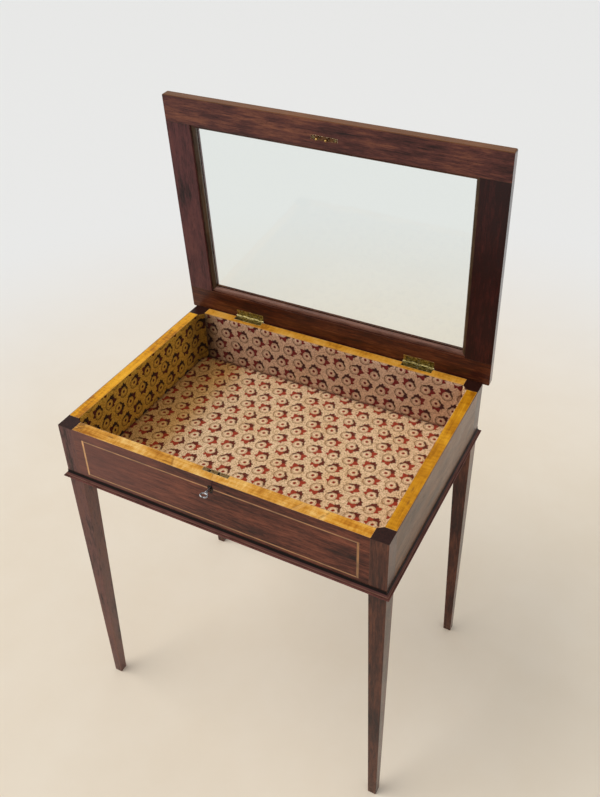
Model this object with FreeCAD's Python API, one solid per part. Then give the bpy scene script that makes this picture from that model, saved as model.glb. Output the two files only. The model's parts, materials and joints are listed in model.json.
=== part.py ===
"""Glazed display table: a shallow lined case on four tapered legs, with a hinged glazed lid.

Millimetres, +Z up, the front faces -Y. The origin lies on the floor under the middle of the whole
outline. The lid and its fittings are drawn shut and then swung open about the hinge pins.
"""
import FreeCAD, Part
import math
import os

Vector = FreeCAD.Vector
X_AXIS, Y_AXIS, Z_AXIS = Vector(1, 0, 0), Vector(0, 1, 0), Vector(0, 0, 1)

# ---- driving dimensions ----------------------------------------------------------------------
# overall
case_width = 648.0
case_depth = 456.0
table_height = 722.0            # floor to the rim of the case
case_height = 121.5             # rim down to the underside of the rails

# legs, which run up as the case's corner posts
post_size = 32.0
foot_size = 17.0
outer_arris = 1.2               # rounding on a leg's outer corner
overrun = 1.0                   # cutting shapes run this far past what they cut

# case rails, each with a veneer on its outer face
front_rail_thickness = 24.0
back_rail_thickness = 20.5
side_rail_thickness = 21.3
veneer_thickness = 1.0
tenon_length = 12.0
tenon_thickness = 8.0
tenon_shoulder = 14.0           # rail left above and below a tenon

# light stringing let into the front veneer
string_upright_width = 4.5
string_level_width = 3.0
string_side_margin = 49.6       # from the side of the case
string_top_margin = 18.1        # from the rim
string_bottom_margin = 20.8     # from the underside of the rails
string_keyhole_gap = 12.0       # break in the top line round the keyhole

# moulding round the foot of the case
moulding_height = 15.0
moulding_reach = 7.0
moulding_nosing_height = 3.6
moulding_quirk = 1.2            # step between the nosing and the cove
moulding_top_edge = 0.4
cove_hollow = 1.6               # depth of the cove behind its chord

# bottom board and cloth lining
bottom_thickness = 5.5
bottom_rebate = 7.0
lining_thickness = 1.2
lining_rim_gap = 1.0            # lining stops this far below the rim

# lid
lid_side_overhang = 11.5
lid_front_overhang = 13.6
lid_back_overhang = 8.0
lid_thickness = 18.4
lid_gap = 0.6                   # between the rim and the shut lid
lid_open_angle = 86.5
lid_stile_width = 52.7
lid_front_rail_width = 53.1
lid_hinge_rail_width = 50.9
lid_edge_radius = 3.2
lid_tenon_length = 14.0
lid_tenon_thickness = 5.0
lid_tenon_inner_shoulder = 8.0  # from the glass rebate
lid_tenon_outer_shoulder = 12.0 # from the lid's side

# glass on its lip, held by beads
glass_thickness = 3.0
glass_lip_width = 8.6
glass_lip_thickness = 4.4
glass_play = 0.8
bead_height = 6.4
bead_width = 8.2
bead_flat = 1.6                 # square edge on each side of the quadrant

# butt hinges
hinge_length = 64.0
hinge_spread = 383.0            # between the middles of the two hinges
hinge_leaf_depth = 15.5         # pin to the leaf's inner edge
hinge_leaf_thickness = 1.5
hinge_setback = 3.0             # pin behind the back of the case
knuckle_radius = 2.6
knuckle_count = 5
knuckle_gap = 0.2
pin_radius = 1.3
pin_clearance = 0.05            # pin to the lid's knuckles; it is tight in the case's
pin_head_reach = 0.8
pin_head_lip = 0.7
leaf_screw_count = 3
leaf_screw_head_radius = 2.6
leaf_screw_shank_radius = 1.3
leaf_screw_length = 11.0
hinge_swing_gap = 0.4           # round the turning knuckles

# lock
keyhole_drop = 18.0             # rim to the key's axis
keyhole_radius = 3.4
keyhole_slot_width = 2.8
keyhole_slot_reach = 8.6
lock_plate_length = 52.0
lock_plate_width = 8.0
lock_plate_thickness = 1.6
lock_case_length = 46.0
lock_case_height = 34.0
lock_wall = 1.4
lock_back_thickness = 1.0
lock_screw_radius = 0.9
lock_screw_length = 6.0

# link plate on the lid and the loops that drop into the lock
link_plate_thickness = 1.4
loop_offsets = (-11.8, 6.2)
loop_thickness = 3.0
loop_width = 4.4
loop_drop = 8.4
loop_eye_radius = 1.5
loop_clearance = 0.8            # loop to its slot in the lock plate
link_screw_spread = 42.0

# bolt with two hooks
bolt_travel = 4.0
bolt_height = 4.0
bolt_clearance = 0.2            # bolt to the lock case round it
bolt_ledge_gap = 9.0            # from the key's axis to the ledges that carry the bolt
bolt_ledge_thickness = 1.2
hook_thickness = 2.2
hook_web = 2.5
hook_radius = 1.0
hook_gap = 0.5                  # hook's tip to the loop when unlocked
hook_pass = 0.7                 # hook's tip beyond the loop when locked
bolt_above_key = 5.0            # key's axis to the bolt's lower edge
bolt_notch_depth = 2.2
bolt_notch_width = 9.0
spring_thickness = 0.4
spring_clearance = 0.3          # spring to the bolt
spring_bow = 2.0
spring_loop_gap = 1.0           # spring to the slot beside it

# key
key_stem_radius = 2.1
key_bit_reach = 6.5
key_bit_width = 4.0
key_bit_thickness = 1.8
key_bit_clearance = 0.6         # bit to the front of the lock case
key_tip_reach = 0.6             # stem beyond the bit
key_bow_distance = 21.0         # front of the case to the middle of the bow
key_bow_wire = 1.6
key_bow_radius = 4.4
key_bow_stretch = 4.5           # straight part across the oval bow
key_collar_radius = 3.1
key_collar_length = 2.4
key_collar_gap = 2.2            # bow to the collar

# ---- places that follow from them ------------------------------------------------------------
half_width = case_width / 2
half_depth = case_depth / 2
case_bottom = table_height - case_height
floor_top = case_bottom + bottom_thickness
inner_half_width = half_width - side_rail_thickness
inner_front = -half_depth + front_rail_thickness
inner_back = half_depth - back_rail_thickness
rail_half_width = half_width - post_size
rail_half_depth = half_depth - post_size

lid_under = table_height + lid_gap
lid_top = lid_under + lid_thickness
lid_half_width = half_width + lid_side_overhang
lid_front = -half_depth - lid_front_overhang
lid_back = half_depth + lid_back_overhang
lid_inner_half_width = lid_half_width - lid_stile_width
lid_inner_front = lid_front + lid_front_rail_width
lid_inner_back = lid_back - lid_hinge_rail_width
lip_bottom = lid_top - glass_lip_thickness

pin_y = half_depth + hinge_setback
pin_z = table_height + lid_gap / 2
pin_point = Vector(0, pin_y, pin_z)
leaf_edge_y = pin_y - hinge_leaf_depth
hinge_centres = {"left": -hinge_spread / 2, "right": hinge_spread / 2}

key_z = table_height - keyhole_drop
lock_front = inner_front - lock_plate_width
lock_y = (lock_front + lock_wall + inner_front - lock_back_thickness) / 2
lock_top = table_height - lock_plate_thickness
lock_bottom = lock_top - lock_case_height
hook_z = lid_under - loop_drop + loop_width / 2
bolt_bottom = key_z + bolt_above_key
hook_length = hook_gap + loop_thickness + hook_pass

key_bow_half_depth = key_bow_radius + key_bow_wire
front_reach = half_depth + key_bow_distance + key_bow_half_depth
open_angle = math.radians(lid_open_angle)
arris_centre = Vector(0, lid_back - lid_edge_radius, lid_top - lid_edge_radius) - pin_point
back_reach = (pin_y + arris_centre.y * math.cos(open_angle) + arris_centre.z * math.sin(open_angle)
              + lid_edge_radius)
outline_shift = Vector(0, (front_reach - back_reach) / 2, 0)


# ---- helpers ---------------------------------------------------------------------------------
def block(x0, x1, y0, y1, z0, z1):
    """A box between two corners."""
    return Part.makeBox(x1 - x0, y1 - y0, z1 - z0, Vector(x0, y0, z0))


def extrude_outline(points, along):
    """A prism: a closed outline of points, pulled along a vector."""
    return Part.Face(Part.makePolygon(points + points[:1])).extrude(along)


def rod(radius, length, start, direction):
    return Part.makeCylinder(radius, length, start, direction)


def swing_open(shape):
    """Turn a piece of the shut lid about the hinge pins to where the open lid stands."""
    opened = shape.copy()
    opened.rotate(pin_point, X_AXIS, -lid_open_angle)
    return opened


def mirror_x(shape):
    return shape.mirror(Vector(0, 0, 0), X_AXIS)


def save(name, shape):
    """Write one named piece, set so that the outline's middle is at the origin."""
    placed = shape.copy()
    placed.translate(outline_shift)
    if not placed.isValid():
        raise ValueError("invalid solid: " + name)
    placed.exportStep("parts/" + name + ".step")


# ---- case ------------------------------------------------------------------------------------
def tenon_z():
    return case_bottom + tenon_shoulder, table_height - tenon_shoulder


def long_tenon(side_x, side_y):
    """Tenon of the front or back rail, in the post at that corner."""
    rail = front_rail_thickness if side_y < 0 else back_rail_thickness
    middle = side_y * (half_depth - (rail + veneer_thickness) / 2)
    low, high = tenon_z()
    x0, x1 = sorted((side_x * rail_half_width, side_x * (rail_half_width + tenon_length)))
    return block(x0, x1, middle - tenon_thickness / 2, middle + tenon_thickness / 2, low, high)


def short_tenon(side_x, side_y):
    """Tenon of a side rail, in the post at that corner."""
    middle = side_x * (half_width - (side_rail_thickness + veneer_thickness) / 2)
    low, high = tenon_z()
    y0, y1 = sorted((side_y * rail_half_depth, side_y * (rail_half_depth + tenon_length)))
    return block(middle - tenon_thickness / 2, middle + tenon_thickness / 2, y0, y1, low, high)


def leg(side_x, side_y):
    """A leg: square post beside the case, tapering on its two inner faces down to the foot."""
    def taper(outer, side):
        inner_post, inner_foot = outer - side * post_size, outer - side * foot_size
        return ((outer, 0), (inner_foot, 0), (inner_post, case_bottom),
                (inner_post, table_height), (outer, table_height))

    outer_x, outer_y = side_x * half_width, side_y * half_depth
    reach = post_size + overrun
    across = [Vector(x, outer_y - side_y * reach, z) for x, z in taper(outer_x, side_x)]
    along = [Vector(outer_x - side_x * reach, y, z) for y, z in taper(outer_y, side_y)]
    body = extrude_outline(across, Vector(0, side_y * reach, 0)).common(
        extrude_outline(along, Vector(side_x * reach, 0, 0)))
    corner = [edge for edge in body.Edges
              if all(abs(v.X - outer_x) < 1e-6 and abs(v.Y - outer_y) < 1e-6 for v in edge.Vertexes)]
    body = body.makeFillet(outer_arris, corner)

    inner_y = inner_front if side_y < 0 else inner_back
    inner_x = side_x * inner_half_width
    nook = [Vector(side_x * rail_half_width, inner_y, floor_top),
            Vector(inner_x, side_y * rail_half_depth, floor_top),
            Vector(side_x * (rail_half_width - overrun), side_y * (rail_half_depth - overrun), floor_top)]
    body = body.cut(extrude_outline(nook, Vector(0, 0, case_height)))
    return body.cut(long_tenon(side_x, side_y)).cut(short_tenon(side_x, side_y))


def bottom_rebate_block():
    """Space of the bottom board inside the rails, before it is notched round the posts."""
    return block(-inner_half_width - bottom_rebate, inner_half_width + bottom_rebate,
                 inner_front - bottom_rebate, inner_back + bottom_rebate, case_bottom, floor_top)


def front_rail():
    core = block(-rail_half_width, rail_half_width, -half_depth + veneer_thickness, inner_front,
                 case_bottom, table_height)
    core = core.fuse([long_tenon(-1, -1), long_tenon(1, -1)]).removeSplitter()
    return core.cut(bottom_rebate_block()).cut(lock_mortise()).cut(keyhole_cut())


def back_rail():
    core = block(-rail_half_width, rail_half_width, inner_back, half_depth - veneer_thickness,
                 case_bottom, table_height)
    core = core.fuse([long_tenon(-1, 1), long_tenon(1, 1)]).removeSplitter().cut(bottom_rebate_block())
    for centre in hinge_centres.values():
        core = core.cut(case_leaf_recess(centre))
    return core


def left_rail():
    core = block(-half_width + veneer_thickness, -inner_half_width, -rail_half_depth, rail_half_depth,
                 case_bottom, table_height)
    core = core.fuse([short_tenon(-1, -1), short_tenon(-1, 1)]).removeSplitter()
    return core.cut(bottom_rebate_block())


def string_lines():
    """The front's light lines: two uprights, one level line below and two above, by the keyhole."""
    outer = half_width - string_side_margin
    inner = outer - string_upright_width
    low = case_bottom + string_bottom_margin
    high = table_height - string_top_margin
    y0, y1 = -half_depth, -half_depth + veneer_thickness
    left = block(-outer, -inner, y0, y1, low, high)
    bottom = block(-inner, inner, y0, y1, low, low + string_level_width)
    top_left = block(-inner, -string_keyhole_gap / 2, y0, y1, high - string_level_width, high)
    return {"stringing_left": left, "stringing_right": mirror_x(left), "stringing_bottom": bottom,
            "stringing_top_left": top_left, "stringing_top_right": mirror_x(top_left)}


def front_veneer():
    sheet = block(-rail_half_width, rail_half_width, -half_depth, -half_depth + veneer_thickness,
                  case_bottom, table_height)
    return sheet.cut(list(string_lines().values())).cut(keyhole_cut())


def back_veneer():
    sheet = block(-rail_half_width, rail_half_width, half_depth - veneer_thickness, half_depth,
                  case_bottom, table_height)
    for centre in hinge_centres.values():
        sheet = sheet.cut(case_leaf_recess(centre))
    return sheet


def left_veneer():
    return block(-half_width, -half_width + veneer_thickness, -rail_half_depth, rail_half_depth,
                 case_bottom, table_height)


def moulding_profile():
    """Reach and height of the moulding's outline: nosing, quirk and cove, as a closed wire."""
    top = case_bottom + moulding_height
    nosing_top = case_bottom + moulding_nosing_height
    straight = moulding_reach - moulding_nosing_height / 2
    quirk_reach = moulding_reach - 2 * moulding_quirk
    bottom_inner, bottom_outer = Vector(0, 0, case_bottom), Vector(straight, 0, case_bottom)
    nose = Vector(moulding_reach, 0, case_bottom + moulding_nosing_height / 2)
    nosing_edge, quirk_inner = Vector(straight, 0, nosing_top), Vector(quirk_reach, 0, nosing_top)
    cove_foot = Vector(quirk_reach, 0, nosing_top + moulding_quirk)
    cove_top, top_inner = Vector(moulding_top_edge, 0, top), Vector(0, 0, top)
    chord = (cove_top - cove_foot).normalize()
    cove_middle = (cove_foot + cove_top) / 2 + Vector(-chord.z, 0, chord.x) * cove_hollow
    edges = [
        Part.makeLine(bottom_inner, bottom_outer),
        Part.Arc(bottom_outer, nose, nosing_edge).toShape(),
        Part.makeLine(nosing_edge, quirk_inner),
        Part.makeLine(quirk_inner, cove_foot),
        Part.Arc(cove_foot, cove_middle, cove_top).toShape(),
        Part.makeLine(cove_top, top_inner),
        Part.makeLine(top_inner, bottom_inner),
    ]
    return Part.Wire(edges)


def moulding(length, depth, turn):
    """One mitred length of moulding; turn 0 is the front's, and the others go round from there."""
    half = length / 2
    wire = moulding_profile()
    wire.rotate(Vector(0, 0, 0), Z_AXIS, -90)
    reach = half + moulding_reach + overrun
    wire.translate(Vector(-reach, -depth / 2, 0))
    strip = Part.Face(wire).extrude(Vector(2 * reach, 0, 0))
    far = moulding_reach + 2 * overrun
    mitre = [Vector(-half, -depth / 2, 0), Vector(half, -depth / 2, 0),
             Vector(half + far, -depth / 2 - far, 0), Vector(-half - far, -depth / 2 - far, 0)]
    strip = strip.common(extrude_outline(mitre, Vector(0, 0, table_height)))
    strip.rotate(Vector(0, 0, 0), Z_AXIS, turn)
    return strip


def bottom_board():
    board = bottom_rebate_block()
    for side_x in (-1, 1):
        for side_y in (-1, 1):
            x0, x1 = sorted((side_x * half_width, side_x * rail_half_width))
            y0, y1 = sorted((side_y * half_depth, side_y * rail_half_depth))
            board = board.cut(block(x0, x1, y0, y1, case_bottom, floor_top))
    return board


def lined_space(inset):
    """The eight-sided inside of the case, drawn in by an inset, from the board to above the rim."""
    x, y0, y1 = inner_half_width - inset, inner_front + inset, inner_back - inset
    nip = inset * math.tan(math.pi / 8)
    step_x = inner_half_width - rail_half_width
    step_front = -rail_half_depth - inner_front
    step_back = inner_back - rail_half_depth
    points = [(x - step_x + nip, y0), (x, y0 + step_front - nip), (x, y1 - step_back + nip),
              (x - step_x + nip, y1)]
    points += [(-px, py) for px, py in reversed(points)]
    corners = [Vector(px, py, floor_top) for px, py in points]
    return extrude_outline(corners, Vector(0, 0, case_height + lid_thickness))


def lining_pieces():
    """Cloth on card: one floor piece, and four wall pieces that meet on the corner slants."""
    shell = lined_space(0).cut(lined_space(lining_thickness))
    band = block(-half_width, half_width, -half_depth, half_depth,
                 floor_top, table_height - lining_rim_gap)
    shell = shell.common(band)
    pieces = {"lining_floor": lined_space(lining_thickness).common(
        block(-half_width, half_width, -half_depth, half_depth, floor_top, floor_top + lining_thickness))}
    left_zone = block(-half_width, -rail_half_width, -half_depth, half_depth, 0, 2 * table_height)
    right_zone = mirror_x(left_zone)
    pieces["lining_left"] = shell.common(left_zone)
    pieces["lining_right"] = shell.common(right_zone)
    rest = shell.cut([left_zone, right_zone])
    pieces["lining_front"] = rest.common(block(-half_width, half_width, -half_depth, 0, 0, 2 * table_height))
    pieces["lining_back"] = rest.common(block(-half_width, half_width, 0, half_depth, 0, 2 * table_height))
    return pieces


# ---- lock and key ----------------------------------------------------------------------------
def keyhole_cut():
    """Round hole and slot for the key, from the front through to the lock case."""
    start = Vector(0, -half_depth - overrun, key_z)
    depth = lock_front - start.y + lock_wall
    hole = rod(keyhole_radius, depth, start, Y_AXIS)
    slot = block(-keyhole_slot_width / 2, keyhole_slot_width / 2, start.y, start.y + depth,
                 key_z - keyhole_slot_reach, key_z)
    return hole.fuse(slot)


def lock_case_block():
    return block(-lock_case_length / 2, lock_case_length / 2, lock_front, inner_front - lock_back_thickness,
                 lock_bottom, lock_top)


def lock_back_block():
    return block(-lock_plate_length / 2, lock_plate_length / 2, inner_front - lock_back_thickness,
                 inner_front, lock_bottom - lock_wall, lock_top)


def lock_plate_block():
    return block(-lock_plate_length / 2, lock_plate_length / 2, lock_front, inner_front,
                 lock_top, table_height)


def lock_mortise():
    return lock_case_block().fuse([lock_back_block(), lock_plate_block()])


def lock_case():
    """Box open at the top and the back, with two ledges that carry the bolt."""
    inner_x = lock_case_length / 2 - lock_wall
    y0, y1 = lock_front + lock_wall, inner_front - lock_back_thickness
    hollow = block(-inner_x, inner_x, y0, y1, lock_bottom + lock_wall, lock_top)
    ledge_top = bolt_bottom - bolt_clearance
    ledge = block(bolt_ledge_gap, inner_x, y0, y1, ledge_top - bolt_ledge_thickness, ledge_top)
    shell = lock_case_block().cut(hollow).cut(keyhole_cut())
    return shell.fuse([ledge, mirror_x(ledge)]).removeSplitter()


def lock_plate():
    """Top plate of the lock with a slot for each loop."""
    plate = lock_plate_block()
    for offset in loop_offsets:
        half_x = loop_thickness / 2 + loop_clearance
        half_y = loop_width / 2 + loop_clearance
        plate = plate.cut(block(offset - half_x, offset + half_x, lock_y - half_y, lock_y + half_y,
                                lock_top, table_height))
    return plate


def bolt():
    """Bolt bar with a hook for each loop and a notch for the key's bit, drawn unlocked."""
    y0, y1 = lock_y - hook_thickness / 2, lock_y + hook_thickness / 2
    webs, left_edge = [], None
    for offset in loop_offsets:
        tip = offset - loop_thickness / 2 - hook_gap
        web_right = tip - hook_length
        web_left = web_right - hook_web
        left_edge = web_left if left_edge is None else left_edge
        webs.append(block(web_left, web_right, y0, y1, bolt_bottom, hook_z + hook_radius))
        webs.append(rod(hook_radius, tip - web_right + hook_web / 2,
                        Vector(web_right - hook_web / 2, lock_y, hook_z), X_AXIS))
    bar_right = loop_offsets[-1] + loop_thickness + hook_length
    y0 = lock_front + lock_wall + bolt_clearance
    y1 = inner_front - lock_back_thickness - bolt_clearance
    bar = block(left_edge, bar_right, y0, y1, bolt_bottom, bolt_bottom + bolt_height)
    notch_middle = -bolt_travel / 2
    notch = block(notch_middle - bolt_notch_width / 2, notch_middle + bolt_notch_width / 2, y0, y1,
                  bolt_bottom, bolt_bottom + bolt_notch_depth)
    return bar.fuse(webs).removeSplitter().cut(notch)


def lock_spring():
    """Thin bowed leaf that bears down on the bolt, held at the end of the lock case."""
    x1 = lock_case_length / 2 - lock_wall
    x0 = loop_offsets[-1] + loop_thickness / 2 + loop_clearance + spring_loop_gap
    low = bolt_bottom + bolt_height + spring_clearance
    high = low + spring_bow
    y0 = lock_y - hook_thickness / 2
    outer = Part.Arc(Vector(x0, y0, high), Vector((x0 + x1) / 2, y0, low), Vector(x1, y0, high)).toShape()
    inner = Part.Arc(Vector(x0, y0, high + spring_thickness),
                     Vector((x0 + x1) / 2, y0, low + spring_thickness),
                     Vector(x1, y0, high + spring_thickness)).toShape()
    ends = [Part.makeLine(outer.Vertexes[1].Point, inner.Vertexes[1].Point),
            Part.makeLine(inner.Vertexes[0].Point, outer.Vertexes[0].Point)]
    face = Part.Face(Part.Wire(Part.__sortEdges__([outer, inner] + ends)))
    return face.extrude(Vector(0, hook_thickness, 0))


def lock_screws():
    """Two screws through the lock's back plate into the rail, beside the lock case."""
    reach = (lock_plate_length + lock_case_length) / 4
    height = (lock_top + lock_bottom) / 2
    screws = []
    for side in (-1, 1):
        start = Vector(side * reach, inner_front, height)
        screws.append(rod(lock_screw_radius, lock_screw_length, start, Vector(0, -1, 0)))
    return Part.makeCompound(screws)


def lock_back():
    plate = lock_back_block()
    for screw in lock_screws().Solids:
        plate = plate.cut(screw)
    return plate


def key():
    """Steel key: bit, stem, collar and an oval bow that lies level with the bit."""
    bow_y = -half_depth - key_bow_distance
    stem_start = bow_y + key_bow_radius
    bit_y0 = lock_front + lock_wall + key_bit_clearance
    stem_end = bit_y0 + key_bit_width + key_tip_reach
    stem = rod(key_stem_radius, stem_end - stem_start, Vector(0, stem_start, key_z), Y_AXIS)
    collar = rod(key_collar_radius, key_collar_length, Vector(0, stem_start + key_collar_gap, key_z), Y_AXIS)
    bit = block(-key_bit_reach, 0, bit_y0, bit_y0 + key_bit_width,
                key_z - key_bit_thickness / 2, key_z + key_bit_thickness / 2)
    half = key_bow_stretch / 2
    right = Part.makeTorus(key_bow_radius, key_bow_wire, Vector(0, 0, 0), Z_AXIS, -180, 180, 180)
    right.rotate(Vector(0, 0, 0), Z_AXIS, -90)
    right.translate(Vector(half, bow_y, key_z))
    left = mirror_x(right)
    bars = [rod(key_bow_wire, key_bow_stretch, Vector(-half, bow_y + side * key_bow_radius, key_z), X_AXIS)
            for side in (-1, 1)]
    return stem.fuse([collar, bit, right, left] + bars).removeSplitter()


# ---- lid, drawn shut -------------------------------------------------------------------------
def lid_blank():
    blank = block(-lid_half_width, lid_half_width, lid_front, lid_back, lid_under, lid_top)
    rounded = [edge for edge in blank.Edges
               if all(abs(v.Z - lid_top) < 1e-6 for v in edge.Vertexes)
               or abs(edge.Vertexes[0].Z - edge.Vertexes[1].Z) > lid_thickness / 2]
    blank = blank.makeFillet(lid_edge_radius, rounded)
    rebate = block(-lid_inner_half_width, lid_inner_half_width, lid_inner_front, lid_inner_back,
                   lid_under, lip_bottom)
    opening = block(-lid_inner_half_width + glass_lip_width, lid_inner_half_width - glass_lip_width,
                    lid_inner_front + glass_lip_width, lid_inner_back - glass_lip_width,
                    lid_under, lid_top)
    return blank.cut(rebate).cut(opening)


def stile_tenon(side_x, edge_y, side_y):
    """Tenon of a stile in the front or hinge rail, set in the thickness beside the rebate."""
    low = lid_under + (lid_thickness - glass_lip_thickness - lid_tenon_thickness) / 2
    y0, y1 = sorted((edge_y, edge_y + side_y * lid_tenon_length))
    x0, x1 = sorted((side_x * (lid_inner_half_width + lid_tenon_inner_shoulder),
                     side_x * (lid_half_width - lid_tenon_outer_shoulder)))
    return block(x0, x1, y0, y1, low, low + lid_tenon_thickness)


def lid_members():
    blank = lid_blank()
    tenons = {(side_x, name): stile_tenon(side_x, edge, side_y)
              for side_x in (-1, 1)
              for name, edge, side_y in (("front", lid_inner_front, -1), ("back", lid_inner_back, 1))}
    wide = lid_half_width + overrun
    front = blank.common(block(-wide, wide, lid_front - overrun, lid_inner_front, 0, 2 * table_height))
    hinge = blank.common(block(-wide, wide, lid_inner_back, lid_back + overrun, 0, 2 * table_height))
    lips = blank.common(block(-lid_inner_half_width, lid_inner_half_width,
                              lid_inner_front, lid_inner_back, 0, 2 * table_height))
    mitre = [Vector(-lid_inner_half_width, lid_inner_front, 0),
             Vector(-lid_inner_half_width + glass_lip_width, lid_inner_front + glass_lip_width, 0),
             Vector(lid_inner_half_width - glass_lip_width, lid_inner_front + glass_lip_width, 0),
             Vector(lid_inner_half_width, lid_inner_front, 0)]
    front_lip = lips.common(extrude_outline(mitre, Vector(0, 0, 2 * table_height)))
    mitre = [Vector(v.x, lid_inner_front + lid_inner_back - v.y, 0) for v in mitre]
    back_lip = lips.common(extrude_outline(mitre, Vector(0, 0, 2 * table_height)))
    side_lips = lips.cut([front_lip, back_lip])
    members = {}
    for side_x, name in ((-1, "lid_stile_left"), (1, "lid_stile_right")):
        x0, x1 = sorted((side_x * wide, 0))
        side = blank.common(block(x0, x1, lid_inner_front, lid_inner_back, 0, 2 * table_height))
        x0, x1 = sorted((side_x * wide, side_x * lid_inner_half_width))
        outer = side.common(block(x0, x1, lid_inner_front, lid_inner_back, 0, 2 * table_height))
        x0, x1 = sorted((side_x * wide, 0))
        lip = side_lips.common(block(x0, x1, lid_inner_front, lid_inner_back, 0, 2 * table_height))
        members[name] = outer.fuse([lip, tenons[(side_x, "front")], tenons[(side_x, "back")]])
        members[name] = members[name].removeSplitter()
    front = front.fuse(front_lip).removeSplitter()
    hinge = hinge.fuse(back_lip).removeSplitter()
    front = front.cut([tenons[(-1, "front")], tenons[(1, "front")], link_plate_recess()])
    hinge = hinge.cut([tenons[(-1, "back")], tenons[(1, "back")]])
    for centre in hinge_centres.values():
        hinge = hinge.cut(lid_leaf_recess(centre))
    members["lid_front_rail"], members["lid_hinge_rail"] = front, hinge
    return members


def glass():
    x = lid_inner_half_width - glass_play
    return block(-x, x, lid_inner_front + glass_play, lid_inner_back - glass_play,
                 lip_bottom - glass_thickness, lip_bottom)


def bead(length, to_wall):
    """Quadrant bead under the glass, mitred at both ends, drawn for the front edge of the rebate."""
    half = length / 2
    high = lip_bottom - glass_thickness
    low = high - bead_height
    wall, inner = Vector(0, 0, low), Vector(0, bead_width, high)
    start = Vector(0, bead_flat, low)
    end = Vector(0, bead_width, high - bead_flat)
    bend = math.sin(math.pi / 4)
    middle = Vector(0, bead_flat + (bead_width - bead_flat) * bend,
                    high - bead_flat - (bead_height - bead_flat) * bend)
    edges = [Part.makeLine(Vector(0, 0, high), wall), Part.makeLine(wall, start),
             Part.Arc(start, middle, end).toShape(), Part.makeLine(end, inner),
             Part.makeLine(inner, Vector(0, 0, high))]
    profile = Part.Wire(edges)
    profile.translate(Vector(-half, to_wall, 0))
    strip = Part.Face(profile).extrude(Vector(length, 0, 0))
    far = bead_width + 2 * overrun
    mitre = [Vector(-half, to_wall, 0), Vector(half, to_wall, 0),
             Vector(half - far, to_wall + far, 0), Vector(far - half, to_wall + far, 0)]
    return strip.common(extrude_outline(mitre, Vector(0, 0, 2 * table_height)))


def beads():
    width = 2 * lid_inner_half_width
    depth = lid_inner_back - lid_inner_front
    middle_y = (lid_inner_front + lid_inner_back) / 2
    front = bead(width, -depth / 2)
    left = bead(depth, -width / 2)
    left.rotate(Vector(0, 0, 0), Z_AXIS, -90)
    back = front.copy()
    back.rotate(Vector(0, 0, 0), Z_AXIS, 180)
    pieces = {"bead_front": front, "bead_back": back, "bead_left": left, "bead_right": mirror_x(left)}
    for piece in pieces.values():
        piece.translate(Vector(0, middle_y, 0))
    return pieces


# ---- hinges ----------------------------------------------------------------------------------
def leaf_plate(centre, z0):
    """Flat of a leaf: it stops short of the turning knuckles."""
    edge = pin_y - knuckle_radius - hinge_swing_gap
    return block(centre - hinge_length / 2, centre + hinge_length / 2, leaf_edge_y, edge,
                 z0, z0 + hinge_leaf_thickness)


def case_leaf_recess(centre):
    z0 = table_height - hinge_leaf_thickness
    return block(centre - hinge_length / 2, centre + hinge_length / 2, leaf_edge_y, half_depth + overrun,
                 z0, table_height)


def lid_leaf_recess(centre):
    """Recess for the leaf and a deeper notch round the knuckles."""
    x0, x1 = centre - hinge_length / 2, centre + hinge_length / 2
    flat = block(x0, x1, leaf_edge_y, lid_back + overrun, lid_under, lid_under + hinge_leaf_thickness)
    room = knuckle_radius + hinge_swing_gap
    notch = block(x0 - pin_head_reach - hinge_swing_gap, x1 + pin_head_reach + hinge_swing_gap,
                  pin_y - room, lid_back + overrun, lid_under, pin_z + room)
    return flat.fuse(notch)


def hinge_leaf(centre, z0, knuckles, bore_radius):
    """A leaf with its own knuckles, bored for the pin."""
    pitch = hinge_length / knuckle_count
    leaf = leaf_plate(centre, z0)
    plate_edge = pin_y - knuckle_radius - hinge_swing_gap
    parts = []
    for index in knuckles:
        x0 = centre - hinge_length / 2 + index * pitch + knuckle_gap / 2
        length = pitch - knuckle_gap
        parts.append(rod(knuckle_radius, length, Vector(x0, pin_y, pin_z), X_AXIS))
        parts.append(block(x0, x0 + length, plate_edge, pin_y, z0, z0 + hinge_leaf_thickness))
    leaf = leaf.fuse(parts).removeSplitter()
    bore = rod(bore_radius, hinge_length + 2 * overrun,
               Vector(centre - hinge_length / 2 - overrun, pin_y, pin_z), X_AXIS)
    return leaf.cut(bore)


def hinge_pin(centre):
    """Pin through all the knuckles with a flat head just beyond each end."""
    start = centre - hinge_length / 2
    pin = rod(pin_radius, hinge_length, Vector(start, pin_y, pin_z), X_AXIS)
    heads = [rod(pin_radius + pin_head_lip, pin_head_reach, Vector(x, pin_y, pin_z), X_AXIS)
             for x in (start - pin_head_reach, start + hinge_length)]
    return pin.fuse(heads).removeSplitter()


def leaf_screws(centre, face_z, down):
    """Countersunk screws in a row across a leaf; down is -1 into the case and 1 into the lid."""
    spread = hinge_length / leaf_screw_count
    row_y = (leaf_edge_y + pin_y - knuckle_radius - hinge_swing_gap) / 2
    direction = Vector(0, 0, down)
    screws = []
    for index in range(leaf_screw_count):
        x = centre + (index - (leaf_screw_count - 1) / 2) * spread
        start = Vector(x, row_y, face_z)
        head = Part.makeCone(leaf_screw_head_radius, leaf_screw_shank_radius,
                             hinge_leaf_thickness, start, direction)
        shank = rod(leaf_screw_shank_radius, leaf_screw_length, start, direction)
        screws.append(head.fuse(shank).removeSplitter())
    return Part.makeCompound(screws)


# ---- link plate ------------------------------------------------------------------------------
def link_plate_recess():
    half_x, half_y = lock_plate_length / 2, lock_plate_width / 2
    middle = (lock_front + inner_front) / 2
    return block(-half_x, half_x, middle - half_y, middle + half_y, lid_under,
                 lid_under + link_plate_thickness)


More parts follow.
